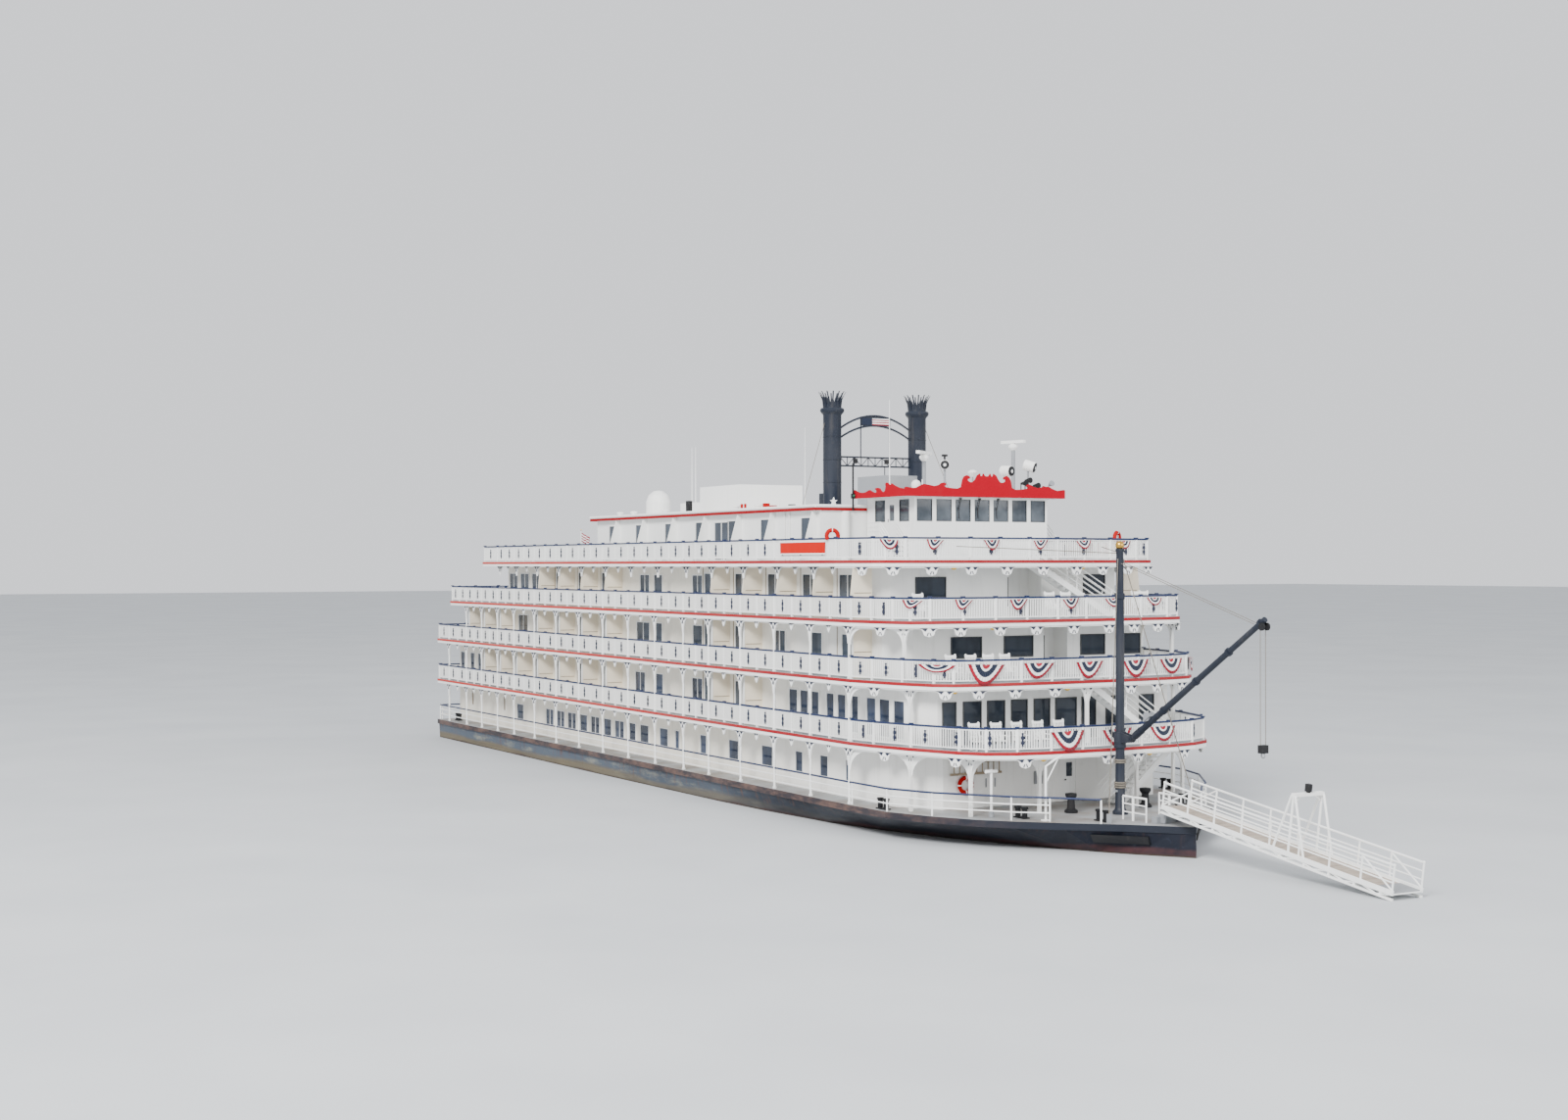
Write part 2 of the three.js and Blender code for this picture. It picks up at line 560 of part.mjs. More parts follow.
function crest() {
  const { front, half } = PILOT_ROOF;
  const starboard = CREST_FRONT.slice(0, -1).map(([y, z]) => [-y, z]);
  const face = crossPlate([...CREST_FRONT, ...starboard.reverse()], [front - CREST.thick, front]);
  const sides = [-1, 1].map((sign) => sidePlate(
    CREST_SIDE.slice().reverse(), mirrored([half - CREST.thick, half], sign)));
  return join(face, ...sides);
}
piece('pilothouse_crest', crest(), 'red');

// Stacks
const ROOF_Z = sunTop + SUN_ROOF.thick + GAP;
function stack(y) {
  const { x, r, rim, rimR, bore, tip, tips } = STACK;
  const foot = ROOF_Z;
  const profile = [
    [0, foot], [r + 0.12, foot], [r + 0.12, foot + 0.15], [r, foot + 0.25], [r, rim - 0.25], [rimR, rim - 0.08],
    [rimR, rim + 0.08], [bore, rim + 0.12], [bore, rim - 0.5], [0, rim - 0.5],
  ];
  const points = profile.map(([a, b]) => new THREE.Vector2(a * M, b * M));
  const shaft = new THREE.LatheGeometry(points, 20).rotateX(Math.PI / 2);
  const leaves = Array.from({ length: tips }, (_, i) => {
    const angle = 2 * Math.PI * i / tips;
    const [c, s] = [Math.cos(angle), Math.sin(angle)];
    const at = (d, z) => [d * c, d * s, z];
    return bar(at(r, rim), at(rimR + 0.1, tip), 0.11, 4, 0.02);
  });
  return join(shaft, ...leaves).translate(x * M, y * M, 0);
}
piece('stack_starboard', stack(-STACK.y), 'charcoal');
piece('stack_port', stack(STACK.y), 'charcoal');
function spreader() {
  const reach = STACK.y - STACK.r - GAP;
  const { bar: wide, thick, upright } = ARCH;
  const x = [STACK.x - thick / 2, STACK.x + thick / 2];
  const curve = (low, peak) => Array.from({ length: 9 }, (_, i) => {
    const t = i / 4 - 1;
    return [reach * t, peak - (peak - low) * t * t];
  });
  const arches = ARCHES.map(([low, peak]) => crossPlate(
    [...curve(low, peak), ...curve(low - wide, peak - wide).reverse()].reverse(), x));
  const ladder = [[-reach, TRUSS.low], [reach, TRUSS.low], [reach, TRUSS.high], [-reach, TRUSS.high]];
  const cells = 8;
  const cell = 2 * reach / cells;
  const holes = Array.from({ length: cells }, (_, i) => {
    const y = -reach + i * cell;
    return [
      [y + TRUSS.bar / 2, TRUSS.low + TRUSS.bar], [y + cell - TRUSS.bar / 2, TRUSS.low + TRUSS.bar],
      [y + cell - TRUSS.bar / 2, TRUSS.high - TRUSS.bar], [y + TRUSS.bar / 2, TRUSS.high - TRUSS.bar]];
  });
  const uprights = [-1, 1].map((sign) => box(
    x, [sign * upright - 0.05, sign * upright + 0.05], [TRUSS.high - 0.05, ARCHES[0][1] - wide * 1.5]));
  return join(...arches, crossPlate(ladder, x, holes), ...uprights);
}
piece('stack_spreader', spreader(), 'charcoal');

// Roof gear: a block each, as x, y and z.
const ROOF_BLOCKS = [
  { name: 'roof_plant_house', x: [33.6, 38.6], y: [-4.3, -0.3], z: [ROOF_Z, 15.55], finish: 'white' },
  { name: 'roof_screen_box', x: [48.2, 50.9], y: [-2.42, -0.48], z: [ROOF_Z, 15.6], finish: 'steel' },
];
for (const { name, x, y, z, finish } of ROOF_BLOCKS) piece(name, box(x, y, z), finish);
const DOME = { x: 27.3, y: -4, r: 0.75, high: 15.6 };
function dome() {
  const profile = [
    [0, ROOF_Z], [DOME.r, ROOF_Z], [DOME.r, ROOF_Z + 0.9], [DOME.r * 0.8, DOME.high - 0.3],
    [DOME.r * 0.4, DOME.high - 0.06], [0, DOME.high]];
  const points = profile.map(([a, b]) => new THREE.Vector2(a * M, b * M));
  return new THREE.LatheGeometry(points, 20).rotateX(Math.PI / 2).translate(DOME.x * M, DOME.y * M, 0);
}
piece('roof_dome', dome(), 'white');
// Radar posts: station, y, foot, top, and the scanner's half length and heading in degrees.
const RADARS = [
  { name: 'radar_aft', x: 51.2, y: -0.27, foot: ROOF_Z, top: 16.85, reach: 0.95, heading: 128 },
  {
    name: 'radar_forward', x: 54, y: 3.3, foot: PILOT.top + PILOT_ROOF.thick + GAP, top: 17.35,
    reach: 0.75, heading: 13,
  },
];
for (const { name, x, y, foot, top, reach, heading } of RADARS) {
  const pole = bar([x, y, foot], [x, y, top - 0.1], 0.09, 8);
  const [ahead, aside] = [Math.cos(heading * Math.PI / 180), Math.sin(heading * Math.PI / 180)];
  const corners = [[-reach, -0.12], [reach, -0.12], [reach, 0.12], [-reach, 0.12]].map(
    ([along, across]) => [x + along * ahead - across * aside, y + along * aside + across * ahead]);
  const scanner = slab(corners, [top - 0.16, top]);
  piece(name, join(pole, scanner), 'white');
}

// Bow gear
piece('mast', join(
  bar([MAST.x, 0, GAP], [MAST.x, 0, MAST.top], MAST.r, 12),
  bar([MAST.x, 0, SWIVEL.low - 0.13], [MAST.x, 0, SWIVEL.low - GAP], MAST.r + 0.07, 12),
  new THREE.SphereGeometry(MAST.ball * M, 10, 6).rotateX(Math.PI / 2)
    .translate(MAST.x * M, 0, (MAST.top + 0.1) * M)), 'charcoal');
function swivel() {
  const { low, high, bore, wall, cheek } = SWIVEL;
  const [hx, hz] = BOOM.heel;
  const collar = slab(ringOf(MAST.x, 0, bore + wall, 16), [low, high], [ringOf(MAST.x, 0, bore, 16)]);
  const root = MAST.x + bore + 0.04;
  const ear = [[root, low + 0.02], [hx, hz - 0.15], [hx + 0.15, hz], [hx, hz + 0.15], [root, high - 0.02]];
  const ears = [-1, 1].map((sign) => sidePlate(ear, mirrored(cheek, sign)));
  return join(collar, ...ears, bar([hx, -cheek[1] - 0.03, hz], [hx, cheek[1] + 0.03, hz], BOOM.pin, 12));
}
piece('boom_swivel', swivel(), 'charcoal');
function boom() {
  const [hx, hz] = BOOM.heel;
  const [tx, tz] = BOOM.tip;
  const length = Math.hypot(tx - hx, tz - hz);
  const spar = bar([0.3, 0, 0], [length, 0, 0], BOOM.r, 10, BOOM.r * 0.85);
  const eye = sidePlate(
    [[-0.1, -0.05], [0, -0.11], [0.4, -0.09], [0.4, 0.09], [0, 0.11], [-0.1, 0.05]], [-BOOM.eye, BOOM.eye],
    [ringOf(0, 0, BOOM.bore, 16)]);
  const head = bar([length - 0.35, 0, 0], [length, 0, 0], BOOM.r * 1.3, 10);
  return join(spar, eye, head).rotateY(-Math.atan2(tz - hz, tx - hx)).translate(hx * M, 0, hz * M);
}
piece('boom', boom(), 'charcoal');

// Landing stage, built level with its hinge pin at the origin and then sloped down to the bank
function stage() {
  const { hinge, end, floor, half, deck, girder, rail, bay, bail } = STAGE;
  const length = Math.hypot(end[0] - hinge[0], end[1] - hinge[1]);
  const parts = [box([0, length], [-half, half], [floor - deck, floor])];
  const bars = 0.06;
  for (const sign of [-1, 1]) {
    const outline = [[0, floor - girder], [length, floor - girder], [length, floor + rail], [0, floor + rail]];
    const count = Math.round(length / bay);
    const pitch = (length - bars) / count;
    const holes = [];
    for (let i = 0; i < count; i += 1) {
      const [x0, x1] = [bars + i * pitch, (i + 1) * pitch];
      for (const [low, high] of [[0.12, rail * 0.5], [rail * 0.5 + bars, rail - bars]]) {
        holes.push([[x0, floor + low], [x1, floor + low], [x1, floor + high], [x0, floor + high]]);
      }
    }
    parts.push(sidePlate(outline, mirrored([half - bars, half], sign), holes));
    const root = floor - deck / 2;
    const lug = [[-0.1, root], [-0.1, 0], [-0.05, -0.09], [0.05, -0.09], [0.1, 0], [0.16, root]];
    parts.push(sidePlate(lug.reverse(), mirrored(STAGE_PIN.lug, sign), [ringOf(0, 0, STAGE_PIN.bore, 16)]));
    for (const lean of [-0.65, 0.65]) {
      const y = sign * (half - bars / 2);
      parts.push(bar([bail + lean, y, floor], [bail, y, floor + 2.35], 0.045, 6));
    }
  }
  parts.push(bar([bail, bars / 2 - half, floor + 2.33], [bail, half - bars / 2, floor + 2.33], 0.06, 6));
  const slope = Math.atan2(end[1] - hinge[1], end[0] - hinge[0]);
  return join(...parts).rotateY(-slope).translate(hinge[0] * M, 0, hinge[1] * M);
}
piece('landing_stage', stage(), 'white');
function stageHeel() {
  const [x, z] = STAGE.hinge;
  const arm = [[x - 0.6, 0.02], [x - 0.1, 0.02], [x + 0.08, z], [x, z + 0.09], [x - 0.12, z], [x - 0.6, 0.3]];
  const arms = [-1, 1].map((sign) => sidePlate(arm, mirrored(STAGE_PIN.arm, sign)));
  const reach = STAGE_PIN.arm[1] + 0.05;
  return join(
    box([x - 0.7, x - 0.35], [-0.7, 0.7], [GAP, 0.28]), ...arms,
    bar([x, -reach, z], [x, reach, z], STAGE_PIN.r, 12));
}
piece('stage_heel', stageHeel(), 'steel');

// Stern wheel, its beams and the rudders
function paddleWheel() {
  const { r, half, buckets, bucket: [deep, thick], rings, rim, hub, shaft } = WHEEL;
  const outer = r - deep * 0.6;
  const parts = [bar([0, -half - 0.84, 0], [0, half + 0.84, 0], shaft, 16)];
  for (const y of rings) {
    const [around, within] = [ringOf(0, 0, outer, buckets), ringOf(0, 0, outer - rim, buckets)];
    parts.push(sidePlate(around, [y - 0.05, y + 0.05], [within]));
    parts.push(sidePlate(ringOf(0, 0, hub, 8), [y - 0.07, y + 0.07]));
    for (let i = 0; i < buckets; i += 2) {
      const arm = box([hub - 0.06, outer - rim + 0.04], [y - 0.04, y + 0.04], [-0.05, 0.05]);
      parts.push(arm.rotateY(2 * Math.PI * (i + 0.5) / buckets));
    }
  }
  for (let i = 0; i < buckets; i += 1) {
    parts.push(box([r - deep, r], [-half, half], [-thick / 2, thick / 2]).rotateY(2 * Math.PI * i / buckets));
  }
  return join(...parts).translate(WHEEL.x * M, 0, WHEEL.z * M);
}
piece('paddle_wheel', paddleWheel(), 'red');
const BEARING = { r: WHEEL.shaft + 0.008, sides: 32 };
for (const [side, sign] of Object.entries(SIDES)) {
  const { y, wide, high, tail } = WHEEL_BEAM;
  const outline = [
    [STERN_X - GAP, -GUARD_DEPTH - 0.5], [STERN_X - GAP, 0.5], [WHEEL.x, WHEEL.z + high / 2],
    [WHEEL.x - tail, WHEEL.z + high / 2], [WHEEL.x - tail, WHEEL.z - high / 2], [WHEEL.x, WHEEL.z - high / 2],
  ].reverse();
  const bore = ringOf(WHEEL.x, WHEEL.z, BEARING.r, BEARING.sides);
  const span = [sign * y - wide / 2, sign * y + wide / 2];
  piece(`wheel_beam_${side}`, sidePlate(outline, span, [bore]), 'white');
}
for (const [side, sign] of Object.entries(SIDES)) {
  const { x, y, ahead, behind, low, high, thick, stock } = RUDDER;
  const blade = box([x - behind, x + ahead], [sign * y - thick / 2, sign * y + thick / 2], [low, high]);
  const rakeAt = -DRAFT_DEPTH + (RAKE_END_X - x - stock) / (RAKE_END_X - STERN_X) * (DRAFT_DEPTH + RAKE_Z);
  const post = bar([x, sign * y, low + 0.1], [x, sign * y, rakeAt - GAP], stock, 8);
  piece(`rudder_${side}`, join(blade, post), 'hull');
}

export default boat;
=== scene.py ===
"""Dresses the 1:10 model of a sternwheel paddle boat: rails, glass, trim, gear and finishes."""
import math
from copy import copy
from itertools import pairwise

import bmesh
import bpy
from mathutils import Matrix, Vector


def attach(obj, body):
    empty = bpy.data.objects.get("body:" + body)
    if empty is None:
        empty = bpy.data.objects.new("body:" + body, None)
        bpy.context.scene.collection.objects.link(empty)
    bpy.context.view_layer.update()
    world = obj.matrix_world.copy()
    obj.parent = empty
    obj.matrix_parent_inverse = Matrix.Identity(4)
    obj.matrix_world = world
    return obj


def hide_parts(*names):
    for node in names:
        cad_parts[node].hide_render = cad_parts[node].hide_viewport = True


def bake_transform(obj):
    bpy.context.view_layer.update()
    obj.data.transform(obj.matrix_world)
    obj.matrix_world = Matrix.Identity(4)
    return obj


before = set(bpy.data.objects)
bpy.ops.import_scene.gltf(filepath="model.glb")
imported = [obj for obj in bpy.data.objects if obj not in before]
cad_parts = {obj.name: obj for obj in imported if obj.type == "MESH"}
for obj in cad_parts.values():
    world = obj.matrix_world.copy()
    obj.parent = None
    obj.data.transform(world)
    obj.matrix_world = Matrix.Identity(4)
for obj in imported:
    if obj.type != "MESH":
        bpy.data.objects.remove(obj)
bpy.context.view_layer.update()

# Sizes below are metres of the full-size boat, as in the part's source: x forward from the stern
# edge of the decks, y to port, z up from the main deck. MODEL turns them into the model's metres.
SCALE = 0.1
ORIGIN = (38.16, 0, -3.05)
MODEL = Matrix.Scale(SCALE, 4) @ Matrix.Translation([-v for v in ORIGIN])
WATERLINE = -1.3

# Decks: height, stern edge, and the starboard half of the front edge as x and half-breadth
EDGE = 8.68
SLAB = 0.3
DECKS = {
    2: (2.9, 0, [
        (57.9, 8.68), (59.5, 8.45), (61.7, 7.84), (64.2, 6.95), (65.2, 6.2), (65.8, 5),
        (66.1, 3.4), (66.25, 0)]),
    3: (5.79, 0, [
        (57.9, 8.68), (59.3, 8.4), (61.2, 7.98), (62.8, 7.35), (63.4, 6.7), (63.7, 5.6),
        (63.9, 3.4), (63.98, 0)]),
    4: (8.53, 2.78, [
        (57.9, 8.68), (60.6, 8.1), (61.5, 7.75), (61.8, 6.9), (62.05, 3.5), (62.2, 0)]),
    5: (11.27, 9.36, [
        (56.5, 8.68), (58.9, 8.1), (59.35, 7.7), (59.6, 6.8), (59.9, 3.4), (60, 0)]),
}
HEIGHT = {1: 0, **{deck: row[0] for deck, row in DECKS.items()}}
# Gap under whatever stands on a deck
CLEAR = 0.004

# The sun deck's floor, the top of each roof, the lower roof's edges, and the pilothouse's walls
SUN_FLOOR = HEIGHT[5] + CLEAR
ROOF, PILOT_ROOF = 13.974, 14.464
ROOF_AFT, ROOF_FORE, ROOF_SIDE = 23.6, 51.6, 6.9
PILOT_FRONT, PILOT_SIDE = 55.93, 3.86

# Posts along the sides
POSTS = [
    2.21, 5.82, 8.85, 11.88, 14.91, 18.52, 22.13, 25.74, 29.35, 32.96, 36.57, 40.18, 43.21, 46.82,
    50.43, 54.04, 57.65,
]
FRAME_OUT = 8.64
RAIL_Y = 8.58
WALL = 7.33
SIDES = {"starboard": -1, "port": 1}


# Camera, floor and light
def set_camera():
    data = bpy.data.cameras.new("camera")
    data.lens, data.sensor_width, data.shift_y, data.clip_end = 44.78, 36, 0.0028, 200
    camera = bpy.data.objects.new("camera", data)
    bpy.context.collection.objects.link(camera)
    camera.location = MODEL @ Vector((135.069, -54.753, 11.078))
    right, up, back = Vector((0.4833, 0.8755, 0)), Vector((0, 0, 1)), Vector((0.8755, -0.4833, 0))
    turn = Matrix((right, up, back)).transposed() @ Matrix.Rotation(-0.00149, 3, "Z")
    camera.rotation_euler = turn.to_euler()
    bpy.context.scene.camera = camera


def set_light():
    world = bpy.data.worlds.new("studio")
    bpy.context.scene.world = world
    world.use_nodes = True
    sky = world.node_tree.nodes["Background"]
    sky.inputs["Color"].default_value = (0.94, 0.96, 1, 1)
    sky.inputs["Strength"].default_value = 1.2
    for name, place, aim, size, power in (
        ("key", (11, -14, 13), (0, 0, 0.6), 6, 6300),
        ("fill", (16, 6, 6), (1, 0, 0.8), 8, 1100),
    ):
        data = bpy.data.lights.new(name, "AREA")
        data.size, data.energy = size, power
        lamp = bpy.data.objects.new(name, data)
        bpy.context.collection.objects.link(lamp)
        lamp.location = place
        lamp.rotation_euler = (Vector(aim) - Vector(place)).to_track_quat("-Z", "Y").to_euler()


# Finishes
def tone(red, green, blue):
    """A screen colour, 0 to 255, as the shader's linear colour."""
    def linear(v):
        return v / 12.92 if v <= 0.04045 else ((v + 0.055) / 1.055) ** 2.4
    return tuple(linear(v / 255) for v in (red, green, blue))


def shade(colour, factor):
    return tuple(min(v * factor, 1) for v in colour)


class Finish:
    """A material whose patterns are laid out in full-size metres."""

    def __init__(self, name, rough=0.5, metal=0.0, **sockets):
        self.material = bpy.data.materials.new(name)
        self.material.use_nodes = True
        self.nodes = self.material.node_tree.nodes
        self.links = self.material.node_tree.links
        self.shader = self.nodes["Principled BSDF"]
        self.shader.inputs["Metallic"].default_value = metal
        self.shader.inputs["Roughness"].default_value = rough
        self.shader.inputs["Specular IOR Level"].default_value = 0.3
        for socket, value in sockets.items():
            self.shader.inputs[socket].default_value = value
        self.coords = self.add("ShaderNodeTexCoord")
        mapping = self.add("ShaderNodeMapping")
        mapping.inputs["Scale"].default_value = (1 / SCALE,) * 3
        mapping.inputs["Location"].default_value = ORIGIN
        self.join(self.coords.outputs["Object"], mapping.inputs["Vector"])
        self.place = mapping.outputs["Vector"]

    def add(self, kind, **settings):
        node = self.nodes.new(kind)
        for key, value in settings.items():
            setattr(node, key, value)
        return node

    def join(self, value, socket):
        if isinstance(value, bpy.types.NodeSocket):
            self.links.new(value, socket)
        elif isinstance(value, tuple):
            wide = len(value) == 3 and len(socket.default_value) == 4
            socket.default_value = (*value, 1) if wide else value
        else:
            socket.default_value = value

    def noise(self, size, stretch=(1, 1, 1), detail=3, roughness=0.55):
        """Cloudy noise, its patches about size metres across, drawn out along each axis."""
        squeeze = self.add("ShaderNodeMapping")
        squeeze.inputs["Scale"].default_value = tuple(1 / s for s in stretch)
        self.join(self.place, squeeze.inputs["Vector"])
        node = self.add("ShaderNodeTexNoise")
        self.join(squeeze.outputs["Vector"], node.inputs["Vector"])
        for socket, value in (("Scale", 1 / size), ("Detail", detail), ("Roughness", roughness)):
            node.inputs[socket].default_value = value
        return node.outputs["Fac"]

    def span(self, value, low, high, start=0.0, end=1.0):
        node = self.add("ShaderNodeMapRange")
        ends = {"From Min": low, "From Max": high, "To Min": start, "To Max": end}
        for socket, number in {"Value": value, **ends}.items():
            self.join(number, node.inputs[socket])
        return node.outputs["Result"]

    def cloud(self, size, low, high, start=0.0, end=1.0, **pattern):
        """Noise that runs from start to end as it rises from low to high."""
        return self.span(self.noise(size, **pattern), low, high, start, end)

    def sum(self, operation, a, b):
        node = self.add("ShaderNodeMath", operation=operation)
        self.join(a, node.inputs[0])
        self.join(b, node.inputs[1])
        return node.outputs[0]

    def mix(self, factor, a, b):
        node = self.add("ShaderNodeMix", data_type="RGBA")
        self.join(factor, node.inputs["Factor"])
        self.join(a, node.inputs[6])
        self.join(b, node.inputs[7])
        return node.outputs[2]

    def axis(self, letter, source=None):
        node = self.add("ShaderNodeSeparateXYZ")
        self.join(source or self.place, node.inputs["Vector"])
        return node.outputs[letter]

    def facing_up(self):
        return self.span(self.axis("Z", self.coords.outputs["Normal"]), 0.6, 0.7)

    def colour(self, value):
        self.join(value, self.shader.inputs["Base Color"])
        return self

    def roughen(self, value):
        self.join(value, self.shader.inputs["Roughness"])
        return self

    def bump(self, height, strength, distance):
        node = self.add("ShaderNodeBump")
        node.inputs["Strength"].default_value = strength
        node.inputs["Distance"].default_value = distance * SCALE
        self.join(height, node.inputs["Height"])
        self.join(node.outputs["Normal"], self.shader.inputs["Normal"])
        return self


GRIME = tone(140, 130, 116)
PAINT_WHITE = tone(244, 243, 239)
MATTE = {"Specular IOR Level": 0.08}


def weathered(made, colour, grime, streaks, worn):
    """Clouded tone with rain streaks and specks of grime, over any colour."""
    tint = made.mix(made.cloud(2.6, 0.35, 0.7, 0, worn), colour, tone(176, 172, 164))
    runs = made.cloud(0.3, 0.56, 0.75, 0, streaks, stretch=(1, 1, 9), detail=4)
    tint = made.mix(runs, tint, shade(GRIME, 0.9))
    specks = made.cloud(0.5, 0.6, 0.74, 0, grime, detail=6, roughness=0.7)
    return made.mix(specks, tint, shade(GRIME, 0.7))


def painted(made, colour, rough, grime, streaks, worn):
    """Brushed marine paint, as any colour's surface."""
    made.colour(weathered(made, colour, grime, streaks, worn))
    made.roughen(made.cloud(1.4, 0.3, 0.7, rough - 0.07, rough + 0.12))
    return made.bump(made.noise(0.12, (1, 1, 4), 4), 0.12, 0.02)


def paint(name, colour, rough, grime, streaks, worn, **sockets):
    return painted(Finish(name, rough, **sockets), colour, rough, grime, streaks, worn)


def along_boat(name, aft, bow, start, end, rough=0.45, grime=0.1, streaks=0.15):
    """Paint that changes from one tone to another between two stations."""
    made = Finish(name, rough)
    drift = made.cloud(2.2, 0.3, 0.7, -3, 3, detail=4)
    turn = made.span(made.sum("ADD", made.axis("X"), drift), start, end)
    return painted(made, made.mix(turn, aft, bow), rough, grime, streaks, 0.06)


def deck_finish():
    """The decks' slabs: white boards at the edge and below, grey non-slip paint on top."""
    made = Finish("deck_slab", 0.5)
    board = weathered(made, PAINT_WHITE, 0.1, 0.12, 0.08)
    walked = made.mix(
        made.cloud(1.8, 0.35, 0.7, detail=5), tone(160, 166, 170), tone(142, 147, 152))
    made.colour(made.mix(made.facing_up(), board, walked))
    made.roughen(made.cloud(0.8, 0.3, 0.7, 0.4, 0.65))
    return made.bump(made.noise(0.08, detail=5), 0.15, 0.02)


def hull_finish():
    """Dark at the bow, fading to chalky blue-grey aft, with rust on the guard and at the water."""
    made = Finish("hull_steel", 0.5)
    x, z = made.axis("X"), made.axis("Z")
    patches = made.noise(3.2, (2.2, 1, 0.7), 5)
    ahead = made.sum("ADD", x, made.span(patches, 0.3, 0.7, -8, 8))
    faded = made.span(ahead, 26, 60, 1, 0)
    side = made.mix(faded, tone(16, 21, 34), tone(76, 86, 98))
    chalk = made.cloud(0.5, 0.52, 0.68, 0, 0.6, stretch=(5, 1, 1), detail=6, roughness=0.7)
    side = made.mix(made.sum("MULTIPLY", chalk, faded), side, tone(150, 148, 130))
    sag = made.sum("ADD", z, made.cloud(1.5, 0.3, 0.7, -0.14, 0.14, stretch=(5, 1, 1)))
    low = made.mix(made.noise(0.09, (60, 1, 1), 5), tone(128, 116, 84), tone(74, 62, 50))
    silt = made.sum("MULTIPLY", made.span(sag, -0.98, -0.78, 0.85, 0), faded)
    side = made.mix(silt, side, low)
    rubbed = made.cloud(0.16, 0.58, 0.75, 0, 0.3, stretch=(14, 1, 1), detail=4)
    side = made.mix(rubbed, side, tone(58, 66, 80))
    runs = made.cloud(0.22, 0.54, 0.68, 0, 0.8, stretch=(1, 1, 8), detail=5)
    high = made.sum("MULTIPLY", made.span(z, -1.1, -0.3), made.span(x, 50, 66, 1, 0.2))
    side = made.mix(made.sum("MULTIPLY", runs, high), side, tone(92, 60, 44))
    depth = made.span(x, 40, 69, -1.26, -0.96)
    ragged = made.cloud(1.2, 0.3, 0.7, -0.07, 0.07, stretch=(3, 1, 1))
    below = made.sum("SUBTRACT", made.sum("ADD", z, ragged), depth)
    thin = made.cloud(0.7, 0.35, 0.65, stretch=(2, 1, 1), detail=5)
    worn_boot = made.mix(thin, tone(42, 30, 36), tone(72, 42, 44))
    side = made.mix(made.span(below, -0.06, 0.06, 0.95, 0), side, worn_boot)
    scum = made.mix(made.noise(0.5, (4, 1, 1)), tone(70, 54, 38), tone(44, 46, 38))
    side = made.mix(made.span(z, -1.27, -1.21, 0.9, 0), side, scum)
    rusty = made.cloud(0.5, 0.42, 0.6, stretch=(3, 1, 1), detail=6, roughness=0.7)
    rust = made.mix(rusty, tone(48, 42, 46), tone(96, 74, 66))
    guard = made.mix(made.span(x, 58, 67), rust, tone(26, 31, 42))
    side = made.mix(made.span(z, -0.33, -0.3), side, guard)
    walked = made.mix(
        made.cloud(2, 0.35, 0.65, detail=5), tone(156, 160, 163), tone(132, 124, 117))
    made.colour(made.mix(made.facing_up(), side, walked))
    made.roughen(made.span(patches, 0.3, 0.7, 0.42, 0.7))
    return made.bump(made.noise(0.9, (2, 1, 1), 5), 0.35, 0.08)


def glass_finish(name, colour, rough=0.08, seen_as=2.0):
    """Dark window glass with the cabin's curtains and the sky half seen in it."""
    made = Finish(name, rough)
    seen = made.cloud(1.1, 0.4, 0.62, stretch=(1, 1, 2.2), detail=2)
    made.colour(made.mix(seen, colour, shade(colour, seen_as)))
    return made.bump(made.noise(0.9, detail=1), 0.08, 0.02)


def clear_finish():
    made = Finish("pilothouse_glass", 0.04, **{"Transmission Weight": 0.35, "IOR": 1.45})
    seen = made.cloud(1.4, 0.4, 0.65)
    return made.colour(made.mix(seen, tone(70, 78, 86), tone(112, 120, 128)))


def grained(name, colour, along):
    made = Finish(name, 0.7)
    grain = made.noise(0.12, along, 5, 0.65)
    worn = made.mix(made.span(grain, 0.35, 0.7), colour, shade(colour, 0.72))
    made.colour(made.mix(made.cloud(0.9, 0.5, 0.7, 0, 0.3), worn, GRIME))
    return made.bump(grain, 0.3, 0.02)


def worn_red(name, colour):
    """Red paint that the water has worn: brown where it is thin, dark where it stays wet."""
    made = Finish(name, 0.5)
    thin = made.cloud(0.8, 0.5, 0.66, 0, 0.75, detail=6, roughness=0.7)
    worn = made.mix(thin, colour, tone(104, 58, 44))
    level = made.sum("ADD", made.axis("Z"), made.cloud(0.6, 0.3, 0.7, -0.3, 0.3))
    made.colour(made.mix(made.span(level, -1.3, -0.7, 0.65, 0), worn, tone(58, 34, 32)))
    made.roughen(made.cloud(0.7, 0.3, 0.7, 0.35, 0.6))
    return made.bump(made.noise(0.2, detail=5), 0.25, 0.02)


def cloth_finish(name, colour):
    made = Finish(name, 0.85, **{"Sheen Weight": 0.3})
    weave = made.add("ShaderNodeTexWave", wave_type="BANDS")
    made.join(made.place, weave.inputs["Vector"])
    weave.inputs["Scale"].default_value = 14
    made.colour(made.mix(made.cloud(0.4, 0.35, 0.7), colour, shade(colour, 0.8)))
    return made.bump(weave.outputs["Fac"], 0.15, 0.01)


def metal_finish(name, colour, rough):
    made = Finish(name, rough, 1.0)
    made.colour(made.mix(made.noise(0.3), colour, shade(colour, 0.75)))
    return made.bump(made.noise(0.1), 0.1, 0.01)


